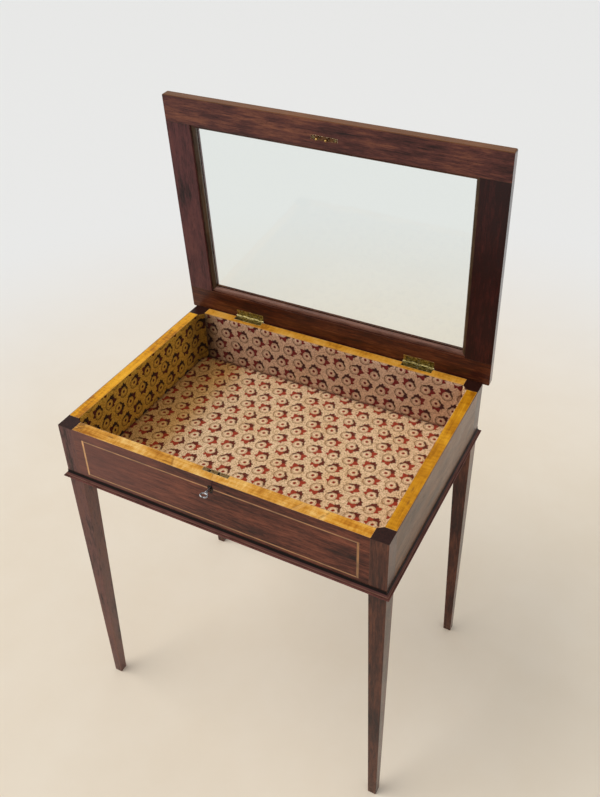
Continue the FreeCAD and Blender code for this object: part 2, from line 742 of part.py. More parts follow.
def link_screws():
    """Two countersunk screws, one near each end of the link plate."""
    screws = []
    middle = (lock_front + inner_front) / 2
    for side in (-1, 1):
        start = Vector(side * link_screw_spread / 2, middle, lid_under)
        head = Part.makeCone(leaf_screw_head_radius, leaf_screw_shank_radius,
                             link_plate_thickness, start, Z_AXIS)
        shank = rod(leaf_screw_shank_radius, leaf_screw_length, start, Z_AXIS)
        screws.append(head.fuse(shank).removeSplitter())
    return Part.makeCompound(screws)


def link_plate():
    """Plate let into the lid with two eyed loops that hang into the lock when the lid is shut."""
    plate = link_plate_recess()
    for offset in loop_offsets:
        x0, x1 = offset - loop_thickness / 2, offset + loop_thickness / 2
        y0, y1 = lock_y - loop_width / 2, lock_y + loop_width / 2
        lug = block(x0, x1, y0, y1, hook_z, lid_under)
        nose = rod(loop_width / 2, loop_thickness, Vector(x0, lock_y, hook_z), X_AXIS)
        eye = rod(loop_eye_radius, loop_thickness, Vector(x0, lock_y, hook_z), X_AXIS)
        plate = plate.fuse(lug.fuse(nose).cut(eye))
    return plate.removeSplitter().cut(link_screws().Solids)


# ---- write every piece -----------------------------------------------------------------------
def main():
    os.makedirs("parts", exist_ok=True)
    for side_x, x_name in ((-1, "left"), (1, "right")):
        for side_y, y_name in ((-1, "front"), (1, "back")):
            save("leg_" + y_name + "_" + x_name, leg(side_x, side_y))
    save("rail_front", front_rail())
    save("rail_back", back_rail())
    save("rail_left", left_rail())
    save("rail_right", mirror_x(left_rail()))
    save("veneer_front", front_veneer())
    save("veneer_back", back_veneer())
    save("veneer_left", left_veneer())
    save("veneer_right", mirror_x(left_veneer()))
    for name, line in string_lines().items():
        save(name, line)
    save("moulding_front", moulding(case_width, case_depth, 0))
    save("moulding_right", moulding(case_depth, case_width, 90))
    save("moulding_back", moulding(case_width, case_depth, 180))
    save("moulding_left", moulding(case_depth, case_width, 270))
    save("bottom_board", bottom_board())
    for name, piece in lining_pieces().items():
        save(name, piece)

    save("lock_case", lock_case())
    save("lock_back_plate", lock_back())
    save("lock_top_plate", lock_plate())
    save("lock_bolt", bolt())
    save("lock_spring", lock_spring())
    save("lock_screws", lock_screws())
    save("key", key())

    for name, centre in hinge_centres.items():
        case_z = table_height - hinge_leaf_thickness
        case_screws = leaf_screws(centre, table_height, -1)
        lid_screws = leaf_screws(centre, lid_under, 1)
        case_leaf = hinge_leaf(centre, case_z, range(0, knuckle_count, 2), pin_radius)
        lid_leaf = hinge_leaf(centre, lid_under, range(1, knuckle_count, 2), pin_radius + pin_clearance)
        case_leaf = case_leaf.cut(case_screws.Solids)
        lid_leaf = lid_leaf.cut(lid_screws.Solids)
        save("hinge_" + name + "_case_leaf", case_leaf)
        save("hinge_" + name + "_lid_leaf", swing_open(lid_leaf))
        save("hinge_" + name + "_pin", hinge_pin(centre))
        save("hinge_" + name + "_case_screws", case_screws)
        save("hinge_" + name + "_lid_screws", swing_open(lid_screws))

    for name, member in lid_members().items():
        save(name, swing_open(member))
    save("lid_glass", swing_open(glass()))
    for name, piece in beads().items():
        save("lid_" + name, swing_open(piece))
    save("link_plate", swing_open(link_plate()))
    save("link_plate_screws", swing_open(link_screws()))


main()
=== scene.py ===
"""Glazed display table: finishes, cloth lining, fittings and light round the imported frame.

Metres, +Z up, the front faces -Y. Patterns are laid out in millimetres of the object's own place.
"""
import json
import math

import bmesh
import bpy
from mathutils import Matrix, Vector


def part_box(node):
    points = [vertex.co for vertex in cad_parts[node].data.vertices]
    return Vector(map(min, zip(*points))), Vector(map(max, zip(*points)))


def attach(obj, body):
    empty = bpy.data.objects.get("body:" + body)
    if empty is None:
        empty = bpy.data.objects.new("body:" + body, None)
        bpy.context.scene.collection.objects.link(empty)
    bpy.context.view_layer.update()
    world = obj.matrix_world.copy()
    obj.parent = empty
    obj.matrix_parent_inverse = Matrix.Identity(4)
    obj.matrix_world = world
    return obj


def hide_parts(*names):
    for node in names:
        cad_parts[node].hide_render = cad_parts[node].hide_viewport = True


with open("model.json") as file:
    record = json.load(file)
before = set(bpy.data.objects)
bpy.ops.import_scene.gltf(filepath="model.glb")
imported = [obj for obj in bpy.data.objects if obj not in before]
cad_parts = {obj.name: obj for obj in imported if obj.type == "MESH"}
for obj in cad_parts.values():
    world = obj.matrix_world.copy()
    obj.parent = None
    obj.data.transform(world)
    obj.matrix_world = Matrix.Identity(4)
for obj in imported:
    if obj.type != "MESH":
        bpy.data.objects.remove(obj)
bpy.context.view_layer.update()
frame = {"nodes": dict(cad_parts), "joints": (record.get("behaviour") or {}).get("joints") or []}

hinge_joint = next(j for j in frame["joints"] if j["name"] == "lid_hinge")
key_joint = next(j for j in frame["joints"] if j["name"] == "key_turn")
PIN = Vector(hinge_joint["pos_m"])
OPEN = math.radians(hinge_joint["range_deg"][1])
SWING = Matrix.Translation(PIN) @ Matrix.Rotation(-OPEN, 4, "X") @ Matrix.Translation(-PIN)
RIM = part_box("rail_front")[1].z


# ---- materials: a small language for their sums --------------------------------------------------
class Wire:
    """A number flowing through a material. Sums written with it add the nodes they need."""

    def __init__(self, finish, socket):
        self.finish = finish
        self.socket = socket

    def maths(self, operation, *others):
        node = self.finish.node("ShaderNodeMath", {"operation": operation},
                                dict(enumerate((self,) + others)))
        return Wire(self.finish, node.outputs[0])

    def turned(self, operation, other):
        node = self.finish.node("ShaderNodeMath", {"operation": operation}, {0: other, 1: self})
        return Wire(self.finish, node.outputs[0])

    def __add__(self, other):
        return self.maths("ADD", other)

    def __radd__(self, other):
        return self.turned("ADD", other)

    def __sub__(self, other):
        return self.maths("SUBTRACT", other)

    def __rsub__(self, other):
        return self.turned("SUBTRACT", other)

    def __mul__(self, other):
        return self.maths("MULTIPLY", other)

    def __rmul__(self, other):
        return self.turned("MULTIPLY", other)

    def __truediv__(self, other):
        return self.maths("DIVIDE", other)

    def __rtruediv__(self, other):
        return self.turned("DIVIDE", other)

    def __abs__(self):
        return self.maths("ABSOLUTE")

    def __mod__(self, other):
        return self.maths("FLOORED_MODULO", other)

    def floor(self):
        return self.maths("FLOOR")

    def sine(self):
        return self.maths("SINE")

    def cosine(self):
        return self.maths("COSINE")

    def angle(self, across):
        return self.maths("ARCTAN2", across)

    def root(self):
        return self.maths("SQRT")

    def least(self, other):
        return self.maths("MINIMUM", other)

    def most(self, other):
        return self.maths("MAXIMUM", other)

    def between(self, low, high, smooth=True):
        """0 below low, 1 above high, with a soft step between them; low may be the larger."""
        kind = "SMOOTHSTEP" if smooth else "LINEAR"
        flip = isinstance(low, float) and isinstance(high, float) and low > high
        if flip:
            low, high = high, low
        node = self.finish.node("ShaderNodeMapRange", {"interpolation_type": kind},
                                {"Value": self, "From Min": low, "From Max": high})
        step = Wire(self.finish, node.outputs["Result"])
        return 1.0 - step if flip else step

    def band(self, middle, half, soft):
        """1 within half of the middle, fading out over soft."""
        return abs(self - middle).between(half + soft, half)

    def pick(self, first, second):
        """first where this is 0, second where it is 1."""
        return first + self * (second - first)


class Tint:
    """A colour flowing through a material."""

    def __init__(self, finish, socket):
        self.finish = finish
        self.socket = socket


class Finish:
    """One procedural material, whose nodes are all made here."""

    def __init__(self, name):
        self.material = bpy.data.materials.new(name)
        self.material.use_nodes = True
        self.tree = self.material.node_tree
        self.tree.nodes.clear()
        self.object_place = None

    def node(self, kind, settings=None, sockets=None):
        """Any node: its type, then its settings, then the values or links of its sockets."""
        node = self.tree.nodes.new(kind)
        for key, value in (settings or {}).items():
            if key == "stops":
                self.set_stops(node.color_ramp, value)
            else:
                setattr(node, key, value)
        for key, value in (sockets or {}).items():
            if isinstance(value, (Wire, Tint)):
                self.tree.links.new(value.socket, node.inputs[key])
            elif isinstance(value, bpy.types.NodeSocket):
                self.tree.links.new(value, node.inputs[key])
            else:
                node.inputs[key].default_value = value
        return node

    def set_stops(self, ramp, stops):
        while len(ramp.elements) < len(stops):
            ramp.elements.new(1.0)
        for element, (place, colour) in zip(ramp.elements, stops):
            element.position = place
            element.color = (*colour, 1.0)

    def place(self, turn=(0.0, 0.0, 0.0), centre=(0.0, 0.0, 0.0)):
        """Object place in millimetres, turned about a centre given in metres."""
        if self.object_place is None:
            self.object_place = self.node("ShaderNodeTexCoord").outputs["Object"]
        moved = self.node("ShaderNodeVectorMath", {"operation": "SUBTRACT"},
                          {0: self.object_place, 1: centre})
        turned = self.node("ShaderNodeMapping", None,
                           {"Vector": moved.outputs[0], "Rotation": turn, "Scale": (1000.0,) * 3})
        split = self.node("ShaderNodeSeparateXYZ", None, {0: turned.outputs[0]})
        return [Wire(self, split.outputs[i]) for i in range(3)]

    def point(self, x, y, z):
        return self.node("ShaderNodeCombineXYZ", None, {0: x, 1: y, 2: z}).outputs[0]

    def noise(self, point, scale=1.0, detail=2.0, rough=0.5, warp=0.0):
        node = self.node("ShaderNodeTexNoise", None,
                         {"Vector": point, "Scale": scale, "Detail": detail, "Roughness": rough,
                          "Distortion": warp})
        return Wire(self, node.outputs["Fac"])

    def cells(self, point, scale=1.0, spread=1.0):
        node = self.node("ShaderNodeTexVoronoi", None,
                         {"Vector": point, "Scale": scale, "Randomness": spread})
        return Wire(self, node.outputs["Distance"])

    def ramp(self, value, stops):
        node = self.node("ShaderNodeValToRGB", {"stops": stops}, {"Fac": value})
        return Tint(self, node.outputs["Color"])

    def blend(self, mask, first, second, how="MIX"):
        """A colour: first where the mask is 0, second where it is 1."""
        first, second = [(*c, 1.0) if isinstance(c, tuple) else c for c in (first, second)]
        node = self.node("ShaderNodeMix", {"data_type": "RGBA", "blend_type": how},
                         {0: mask, 6: first, 7: second})
        return Tint(self, node.outputs[2])

    def worn_edge(self, reach, low, high):
        """1 on outer edges within reach, from how far the rounded normal leans off the flat one."""
        rounded = self.node("ShaderNodeBevel", {"samples": 6}, {"Radius": reach})
        flat = self.node("ShaderNodeNewGeometry")
        lean = self.node("ShaderNodeVectorMath", {"operation": "DOT_PRODUCT"},
                         {0: rounded.outputs[0], 1: flat.outputs["True Normal"]})
        return (1.0 - Wire(self, lean.outputs["Value"])).between(low, high)

    def end_faces(self):
        """1 on faces that look left or right, which hold the brightest polish."""
        flat = self.node("ShaderNodeNewGeometry").outputs["True Normal"]
        split = self.node("ShaderNodeSeparateXYZ", None, {0: flat})
        return abs(Wire(self, split.outputs[0])).between(0.7, 0.95)

    def bump(self, height, depth, strength=1.0, rounding=0.0):
        """Surface relief; depth is in metres and rounding softens the sharp edges."""
        sockets = {"Height": height, "Distance": depth, "Strength": strength}
        if rounding:
            soft = self.node("ShaderNodeBevel", {"samples": 6}, {"Radius": rounding})
            sockets["Normal"] = soft.outputs[0]
        return self.node("ShaderNodeBump", None, sockets).outputs[0]

    def shade(self, **sockets):
        """Close the material with one Principled shader; names are its sockets with _ for spaces."""
        values = {key.replace("_", " "): value for key, value in sockets.items()}
        shader = self.node("ShaderNodeBsdfPrincipled", None, values)
        self.node("ShaderNodeOutputMaterial", None, {"Surface": shader.outputs[0]})
        return self.material


# ---- wood ----------------------------------------------------------------------------------------
ALONG_X = (0.0, 0.0, 0.0)
ALONG_Y = (0.0, 0.0, math.pi / 2)
ALONG_Z = (0.0, math.pi / 2, 0.0)


def grain(finish, turn, board, warp=4.0):
    """Place along the grain and across it, wandering a little; board sets each board's own figure."""
    along, side, deep = finish.place(turn)
    along, side, deep = along + board * 977.0, side + board * 311.0, deep + board * 173.0
    slow = finish.node("ShaderNodeVectorMath", {"operation": "MULTIPLY"},
                       {0: finish.point(along, side, deep), 1: (1 / 190, 1 / 60, 1 / 60)})
    wander = (finish.noise(slow.outputs[0], 1.0, 1.0) - 0.5) * (2.0 * warp)
    return along, side + wander, deep + wander


def mahogany(name, turn, board, dark=(0.016, 0.0045, 0.0040), mid=(0.062, 0.0170, 0.0110),
             light=(0.145, 0.046, 0.023), extra=None, rough=0.34, edge=(0.20, 0.085, 0.045),
             contrast=1.0, coat=0.08, gloss=0.20, end_polish=0.85):
    """Old polished mahogany: mottled figure, fine streaks, dark open pores and rubbed edges."""
    f = Finish(name)
    along, side, deep = grain(f, turn, board)
    figure = f.noise(f.point(along * (1 / 210), side * (1 / 11), deep * (1 / 11)), 1.0, 3.0, 0.6)
    streaks = f.noise(f.point(along * (1 / 34), side * (1 / 1.3), deep * (1 / 1.3)), 1.0, 4.0, 0.65)
    flames = f.noise(f.point(along * (1 / 24), side * (1 / 4.2), deep * (1 / 4.2)), 1.0, 3.0, 0.6, 0.4)
    clouds = f.noise(f.point(along * (1 / 95), side * (1 / 42), deep * (1 / 42)), 1.0, 2.0)
    tone = (figure - 0.5) * contrast + (streaks - 0.5) * (0.9 * contrast)
    tone = tone + (flames - 0.5) * contrast + (clouds - 0.5) * (1.1 * contrast) + 0.5
    colour = f.ramp(tone, [(0.12, dark), (0.5, mid), (0.95, light)])
    pores = f.noise(f.point(along * (1 / 6), side * (1 / 0.45), deep * (1 / 0.45)), 1.0, 1.0)
    pores = pores.between(0.58, 0.68) * streaks.between(0.64, 0.42)
    colour = f.blend(pores * 0.7, colour, (0.007, 0.002, 0.002))
    if extra:
        colour = extra(f, colour)
    rubbed = f.worn_edge(0.0012, 0.02, 0.22)
    patchy = f.noise(f.point(along * (1 / 35), side * (1 / 9), deep * (1 / 9)), 1.0, 3.0)
    colour = f.blend(rubbed * patchy.between(0.35, 0.60) * 0.75, colour, edge)
    dull = f.noise(f.point(along * (1 / 60), side * (1 / 24), deep * (1 / 24)), 1.0, 4.0)
    roughness = rough + (dull - 0.5) * 0.24 + pores * 0.25
    relief = streaks * 0.35 - pores
    return f.shade(Base_Color=colour, Roughness=roughness, Specular_IOR_Level=gloss,
                   Coat_Weight=coat + f.end_faces() * (end_polish - coat), Coat_Roughness=0.20,
                   Normal=f.bump(relief, 0.00006, 0.6, 0.0006))


def pale_wood(name, turn, board, deep_tone=(0.42, 0.15, 0.012), mid=(0.72, 0.33, 0.045),
              light=(0.86, 0.47, 0.10), extra=None):
    """Honey coloured polished edge wood with fine lines, small flecks and a bright rubbed arris."""
    f = Finish(name)
    along, side, deep = grain(f, turn, board, 2.5)
    lines = f.noise(f.point(along * (1 / 60), side * (1 / 1.1), deep * (1 / 1.1)), 1.0, 3.0, 0.6)
    bands = f.noise(f.point(along * (1 / 120), side * (1 / 6), deep * (1 / 6)), 1.0, 2.0)
    curl = f.noise(f.point(along * (1 / 5), side * (1 / 14), deep * (1 / 14)), 1.0, 3.0)
    clouds = f.noise(f.point(along * (1 / 50), side * (1 / 30), deep * (1 / 30)), 1.0, 2.0)
    tone = (lines - 0.5) * 0.9 + (bands - 0.5) * 0.7 + (curl - 0.5) * 0.8 + (clouds - 0.5) * 1.2 + 0.5
    colour = f.ramp(tone, [(0.10, deep_tone), (0.48, mid), (0.90, light)])
    flecks = f.noise(f.point(along * (1 / 4), side * (1 / 0.5), deep * (1 / 0.5)), 1.0, 1.0)
    colour = f.blend(flecks.between(0.60, 0.72) * 0.6, colour, (0.27, 0.085, 0.010))
    knots = f.cells(f.point(along * (1 / 70), side * (1 / 18), deep * (1 / 18)), 1.0)
    colour = f.blend(knots.between(0.16, 0.03) * 0.75, colour, (0.17, 0.055, 0.012))
    if extra:
        colour = extra(f, colour)
    rubbed = f.worn_edge(0.0011, 0.02, 0.20)
    colour = f.blend(rubbed * 0.7, colour, (0.95, 0.66, 0.34))
    roughness = 0.42 + (clouds - 0.5) * 0.2
    return f.shade(Base_Color=colour, Roughness=roughness, Specular_IOR_Level=0.12,
                   Normal=f.bump(lines, 0.00005, 0.5, 0.0005))


def stringing_wood(name, turn, board, node, colour_mid, across):
    """Thin light line let into the veneer, with a dark glue line along each edge."""
    low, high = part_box(node)
    f = Finish(name)
    along, side, deep = grain(f, turn, board, 1.0)
    lines = f.noise(f.point(along * (1 / 40), side * (1 / 0.8), deep * (1 / 0.8)), 1.0, 3.0)
    stain = f.noise(f.point(along * (1 / 18), side * (1 / 9), deep * (1 / 9)), 1.0, 2.0)
    darker = tuple(c * 0.45 for c in colour_mid)
    lighter = tuple(min(1.0, c * 1.45) for c in colour_mid)
    colour = f.ramp((lines - 0.5) * 0.8 + (stain - 0.5) * 1.2 + 0.5,
                    [(0.1, darker), (0.5, colour_mid), (0.9, lighter)])
    places = f.place()
    place = places[across]
    middle = (low[across] + high[across]) * 500.0
    half = (high[across] - low[across]) * 500.0
    glue = abs(place - middle).between(half - 0.75, half - 0.15)
    colour = f.blend(glue * 0.8, colour, (0.03, 0.012, 0.008))
    return f.shade(Base_Color=colour, Roughness=0.36, Coat_Weight=0.4, Coat_Roughness=0.18,
                   Normal=f.bump(lines, 0.00004, 0.5))


def raw_board(name):
    """Underside board: plain dry wood with dust and old stains."""
    f = Finish(name)
    along, side, deep = grain(f, ALONG_X, 0.7, 8.0)
    rings = f.noise(f.point(along * (1 / 300), side * (1 / 9), deep * (1 / 9)), 1.0, 3.0)
    lines = f.noise(f.point(along * (1 / 50), side * (1 / 0.9), deep * (1 / 0.9)), 1.0, 3.0)
    dust = f.noise(f.point(along * (1 / 60), side * (1 / 60), deep * (1 / 60)), 1.0, 5.0, 0.6)
    colour = f.ramp((rings - 0.5) * 1.3 + (lines - 0.5) * 0.8 + 0.5,
                    [(0.1, (0.10, 0.050, 0.022)), (0.5, (0.23, 0.125, 0.055)), (0.9, (0.34, 0.20, 0.10))])
    colour = f.blend(dust.between(0.45, 0.75) * 0.4, colour, (0.30, 0.25, 0.19))
    return f.shade(Base_Color=colour, Roughness=0.72, Normal=f.bump(lines, 0.0001, 0.6))


# ---- cloth ---------------------------------------------------------------------------------------
COLUMN = 38.2   # from one sprig to the next along a row
ROW = 32.7      # from one row to the next
BOW_DEPTH = 165.0   # the rows sag between lines this far before and behind the middle
THREAD = 0.62   # one warp or weft thread and its gap
# Each sprig: the way its leaves point in degrees, the flower's place in its cell, and -1 where it is
# turned over.
UP_LEFT = (122.0, -0.5, -3.3, -1.0)
LEVEL = (8.0, -6.6, -2.8, 1.0)
UP_RIGHT = (45.0, -4.0, -4.2, 1.0)
DOWN_RIGHT = (-56.0, -1.7, 4.7, 1.0)
# Each leaf: the way it points in degrees and how far its tip reaches.
LEAF_TIPS = ((58.0, 17.6), (36.0, 20.4), (15.0, 18.2), (-13.0, 22.0), (-50.0, 18.2))


def sprig_value(odd, swap, read):
    """One fact about the sprig in this cell, from its row's kind and its place in the row."""
    return odd.pick(swap.pick(read(UP_LEFT), read(LEVEL)), swap.pick(read(UP_RIGHT), read(DOWN_RIGHT)))


def cell_place(f, wide, tall, first_column, first_row, lean, bowed):
    """Place from the middle of the pattern's cell, with whether its row and column are odd."""
    fuzz = f.node("ShaderNodeTexNoise", None, {"Vector": f.point(wide, tall, 0.0), "Scale": 0.4,
                                               "Detail": 2.0})
    split = f.node("ShaderNodeSeparateColor", None, {0: fuzz.outputs["Color"]})
    height = tall - first_row + (Wire(f, split.outputs[1]) - 0.5) * 2.4
    row = (height / ROW).floor()
    odd = row % 2.0
    rise = height - (row + 0.5) * ROW
    depth = tall * (1 / BOW_DEPTH)
    bow = (1.0 - depth * depth) * bowed
    width = wide - first_column - (tall - first_row) * lean - bow - odd * (COLUMN / 2)
    width = width + (Wire(f, split.outputs[0]) - 0.5) * 2.4
    column = (width / COLUMN).floor()
    run = width - (column + 0.5) * COLUMN
    swap = (column + ((row + 1.0) * 0.5).floor()) % 2.0
    return run, rise, odd, swap


def flower_rings(f, colour, reach, turn, maroon, olive, cream):
    """Pale petals, their outline, the two rings round them and the fold at their top."""
    petal_edge = reach + (turn * 5.0).cosine() * 0.7
    colour = f.blend(petal_edge.between(9.0, 7.8) * 0.6, colour, cream)
    colour = f.blend(petal_edge.band(7.6, 0.3, 0.6) * 0.55, colour, olive)
    ring = reach.band(11.2, 0.65, 0.8) * (0.85 + 0.15 * (turn * 11.0).sine())
    colour = f.blend(ring * 0.85, colour, olive)
    colour = f.blend(reach.band(9.6, 0.5, 0.7) * 0.25, colour, olive)
    petal_fold = turn.band(1.62, 0.30, 0.25) * reach.band(9.8, 1.5, 1.0)
    return f.blend(petal_fold * 0.85, colour, tuple(c * 0.50 for c in maroon))


def leaf_spray(f, colour, reach, turn, red, maroon):
    """Five pointed leaves, darker along their veins and edges and toward one side."""
    edge = None
    vein = None
    for degrees, tip in LEAF_TIPS:
        swing = abs(turn - math.radians(degrees))
        cone = tip - swing * 19.0
        line = (swing * reach).between(0.55, 0.15)
        edge = cone if edge is None else edge.most(cone)
        vein = line if vein is None else vein.most(line)
    leaves = (edge - reach).between(-0.3, 0.3) * reach.between(9.4, 10.3)
    leaf = f.blend(turn.between(-0.05, 0.40), red, maroon)
    leaf = f.blend(vein * 0.5, leaf, tuple(c * 0.4 for c in maroon))
    leaf = f.blend((edge - reach).between(1.4, 0.2) * 0.45, leaf, tuple(c * 0.5 for c in maroon))
    return f.blend(leaves * 0.97, colour, leaf)


def printed_sprig(f, colour, run, rise, odd, swap, red, maroon, olive, cream):
    """A ringed flower with a dark eye and a spray of pointed red leaves on one side."""
    cosine = sprig_value(odd, swap, lambda s: math.cos(math.radians(s[0])))
    sine = sprig_value(odd, swap, lambda s: math.sin(math.radians(s[0])))
    off_run = run - sprig_value(odd, swap, lambda s: s[1])
    off_rise = rise - sprig_value(odd, swap, lambda s: s[2])
    toward = off_run * cosine + off_rise * sine
    aside = (off_rise * cosine - off_run * sine) * sprig_value(odd, swap, lambda s: s[3])
    reach = (toward * toward + aside * aside).root()
    turn = aside.angle(toward)
    colour = flower_rings(f, colour, reach, turn, maroon, olive, cream)
    colour = leaf_spray(f, colour, reach, turn, red, maroon)
    eye = ((toward - 0.6) * (toward - 0.6) + aside * aside).root()
    colour = f.blend(eye.between(5.0, 3.4) * 0.35, colour, tuple(c * 1.6 for c in olive))
    return f.blend(eye.between(3.3, 2.5), colour, tuple(c * 0.75 for c in red))


def printed_cotton(name, across, up, first_column, first_row, lean, facing=1.0, bowed=0.0,
                   ground=((0.36, 0.20, 0.09), (0.74, 0.49, 0.275), (0.95, 0.70, 0.45)),
                   red=(0.38, 0.034, 0.014), maroon=(0.125, 0.010, 0.006), olive=(0.27, 0.112, 0.032),
                   painted_light_tones=()):
    """Old printed cotton: rows of sprigs on a speckled ground; painted_light_tones are bands of painted
    shadow multiplied across it.
    """
    f = Finish(name)
    places = f.place()
    wide, tall = places[across] * facing, places[up]
    specks = f.noise(f.point(wide, tall, 3.0), 0.42, 3.0, 0.75)
    colour = f.ramp(specks, [(0.37, ground[0]), (0.47, ground[1]), (0.56, ground[2])])
    cell = cell_place(f, wide, tall, first_column, first_row, lean, bowed)
    colour = printed_sprig(f, colour, *cell, red, maroon, olive, ground[2])
    fade = f.noise(f.point(wide, tall, 5.0), 0.9, 3.0)
    colour = f.blend(fade.between(0.62, 0.82) * 0.25, colour, ground[1])
    patches = f.noise(f.point(wide, tall, 9.0), 0.011, 3.0)
    colour = f.blend(patches.between(0.35, 0.70) * 0.30, colour, (0.88, 0.74, 0.52), "MULTIPLY")
    # Painted shadow: each band darkens the cloth toward one end of its span, where a wall's shadow falls.
    for start, end, tint in painted_light_tones:
        colour = f.blend(wide.between(start, end), colour, tint, "MULTIPLY")
    warp_thread = (wide * (2 * math.pi / THREAD)).sine()
    weft_thread = (tall * (2 * math.pi / THREAD)).sine()
    weave = warp_thread * weft_thread
    colour = f.blend(weave.between(-0.2, -1.0) * 0.18, colour, (0.20, 0.12, 0.06))
    creases = f.noise(f.point(wide * (1 / 70), tall * (1 / 45), 1.0), 1.0, 3.0, 0.45, 0.6)
    relief = weave * 0.06 + creases * 1.2
    return f.shade(Base_Color=colour, Roughness=0.92, Specular_IOR_Level=0.15, Sheen_Weight=0.03,
                   Sheen_Roughness=0.5, Normal=f.bump(relief, 0.0009, 0.55))


# ---- metal and glass -----------------------------------------------------------------------------
def aged_brass(name, base=(0.50, 0.41, 0.16), tarnish=(0.105, 0.080, 0.026), worn=(1.0, 0.90, 0.58),
               rough=0.36, age=0.5, extra=None):
    """Old brass: olive tarnish in patches, fine scratches and bright rubbed edges."""
    f = Finish(name)
    x, y, z = f.place()
    point = f.point(x, y, z)
    patches = f.noise(point, 0.22, 4.0, 0.62)
    specks = f.noise(point, 0.8, 3.0, 0.65)
    scratches = f.noise(f.point(x * 0.12, y * 3.0, z * 3.0), 1.0, 3.0)
    dark = (patches * 0.5 + specks * 0.5).between(0.36 + age * 0.14, 0.50 + age * 0.14)
    colour = f.blend(dark, tarnish, base)
    colour = f.blend(specks.between(0.58, 0.70) * 0.5, colour, (0.09, 0.10, 0.035))
    if extra:
        colour = extra(f, colour)
    rubbed = f.worn_edge(0.0007, 0.03, 0.30)
    colour = f.blend(rubbed * 0.85, colour, worn)
    roughness = rough + (patches - 0.5) * 0.35 - rubbed * 0.12
    return f.shade(Base_Color=colour, Metallic=1.0, Roughness=roughness,
                   Normal=f.bump(scratches * 0.5 + specks, 0.00010, 0.7, 0.0003))


def studs_bright(f, colour):
    """The loops that stand off the link plate stay yellow while the plate itself has gone brown."""
    x, y, z = f.place((OPEN, 0.0, 0.0), tuple(PIN))
    return f.blend(z.between(-0.3, -1.0), colour, (0.44, 0.27, 0.075))


def worn_steel(name, base=(0.50, 0.50, 0.52), dark=(0.10, 0.085, 0.075), rough=0.30):
    """Handled steel: bright where it is rubbed, brown-grey in the hollows."""
    f = Finish(name)
    x, y, z = f.place()
    point = f.point(x, y, z)
    patches = f.noise(point, 0.35, 4.0, 0.6)
    pits = f.noise(point, 2.2, 2.0)
    colour = f.blend(patches.between(0.52, 0.38), base, dark)
    rubbed = f.worn_edge(0.0006, 0.03, 0.30)
    colour = f.blend(rubbed * 0.8, colour, (0.82, 0.82, 0.83))
    roughness = rough + (patches - 0.5) * 0.3 + pits.between(0.6, 0.75) * 0.2
    return f.shade(Base_Color=colour, Metallic=1.0, Roughness=roughness,
                   Normal=f.bump(patches + pits * 0.4, 0.00008, 0.5))


def pane_glass(name):
    """Thin old pane: almost clear, faintly green, a little dust and a mirror sheen at low angles."""
    f = Finish(name)
    x, y, z = f.place()
    point = f.point(x, y, z)
    smear = f.noise(f.point(x * 0.010, y * 0.03, z * 0.010), 1.0, 4.0, 0.55, 0.8)
    clear = f.node("ShaderNodeBsdfTransparent", None, {"Color": (0.965, 0.985, 0.975, 1.0)})
    wavy = f.bump(f.noise(point, 0.012, 1.0), 0.0012, 0.25)
    gloss = f.node("ShaderNodeBsdfGlossy", None,
                   {"Color": (1.0, 1.0, 1.0, 1.0), "Roughness": 0.04, "Normal": wavy})
    mirror = Wire(f, f.node("ShaderNodeFresnel", None, {"IOR": 1.45}).outputs[0])
    inside = Wire(f, f.node("ShaderNodeNewGeometry").outputs["Backfacing"])
    mirror = (mirror + smear.between(0.58, 0.80) * 0.02) * (1.0 - inside)
    mixed = f.node("ShaderNodeMixShader", None, {0: mirror, 1: clear.outputs[0], 2: gloss.outputs[0]})
    f.node("ShaderNodeOutputMaterial", None, {"Surface": mixed.outputs[0]})
    return f.material


# ---- dressing the carried-over pieces ------------------------------------------------------------
def dress(material, *names):
    """Give the named pieces of the frame one material."""
    for name in names:
        mesh = frame["nodes"][name].data
        mesh.materials.clear()
        mesh.materials.append(material)


def post_top(f, colour):
    """End grain on top of a post: near black with wax and dust worked in."""
    x, y, z = f.place()
    end = z.between(RIM * 1000 - 0.9, RIM * 1000 - 0.2)
    rays = f.noise(f.point(x, y, z), 0.8, 3.0)
    top = f.blend(rays.between(0.35, 0.70), (0.014, 0.003, 0.002), (0.044, 0.013, 0.008))
    return f.blend(end, colour, top)


def foot_scuffs(f, colour):
    """Scuffed and dusty last centimetres of a leg, then the dark end of the post."""
    x, y, z = f.place()
    scuff = f.noise(f.point(x * 0.4, y * 0.4, z * 0.12), 1.0, 4.0)
    low = z.between(60.0, 4.0) * scuff.between(0.42, 0.66)
    return post_top(f, f.blend(low * 0.6, colour, (0.16, 0.085, 0.055)))


def dress_legs():
    # The front-left leg's paler, purplish tone is painted reflection, like the front's left part; the
    # other legs keep the wood's darker tone.
    painted_light_tones = {"front_left": (0.10, (0.135, 0.050, 0.043)), "front_right": (0.37, (0.066, 0.020, 0.012)),
              "back_left": (0.61, (0.070, 0.021, 0.014)), "back_right": (0.83, (0.060, 0.017, 0.010))}
    for place, (board, mid) in painted_light_tones.items():
        dress(mahogany("mahogany_leg_" + place, ALONG_Z, board, mid=mid, extra=foot_scuffs,
                       end_polish=0.45), "leg_" + place)


def front_marks(f, colour):
    """Ink-dark smudges on the front, a painted reflection on its left part, and the split above the
    keyhole.
    """
    x, y, z = f.place()
    smudge = f.noise(f.point(x * 0.02, z * 0.03, 4.0), 1.0, 4.0, 0.6)
    colour = f.blend(smudge.between(0.56, 0.74) * 0.45, colour, (0.022, 0.010, 0.009))
    key_z = key_joint["pos_m"][2] * 1000
    # Painted reflection: the left part of the front is made paler and purpler, as if it mirrored the
    # bright room.
    left_painted_reflection = x.between(60.0, -300.0)
    colour = f.blend(left_painted_reflection * 0.5, colour, (0.205, 0.084, 0.068))
    split = (x - (z - key_z) * 0.25).band(1.4, 0.9, 0.8) * z.between(key_z, key_z + 3.0)
    return keyhole_painted_shade(f, f.blend(split * 0.95, colour, (0.034, 0.002, 0.002)))


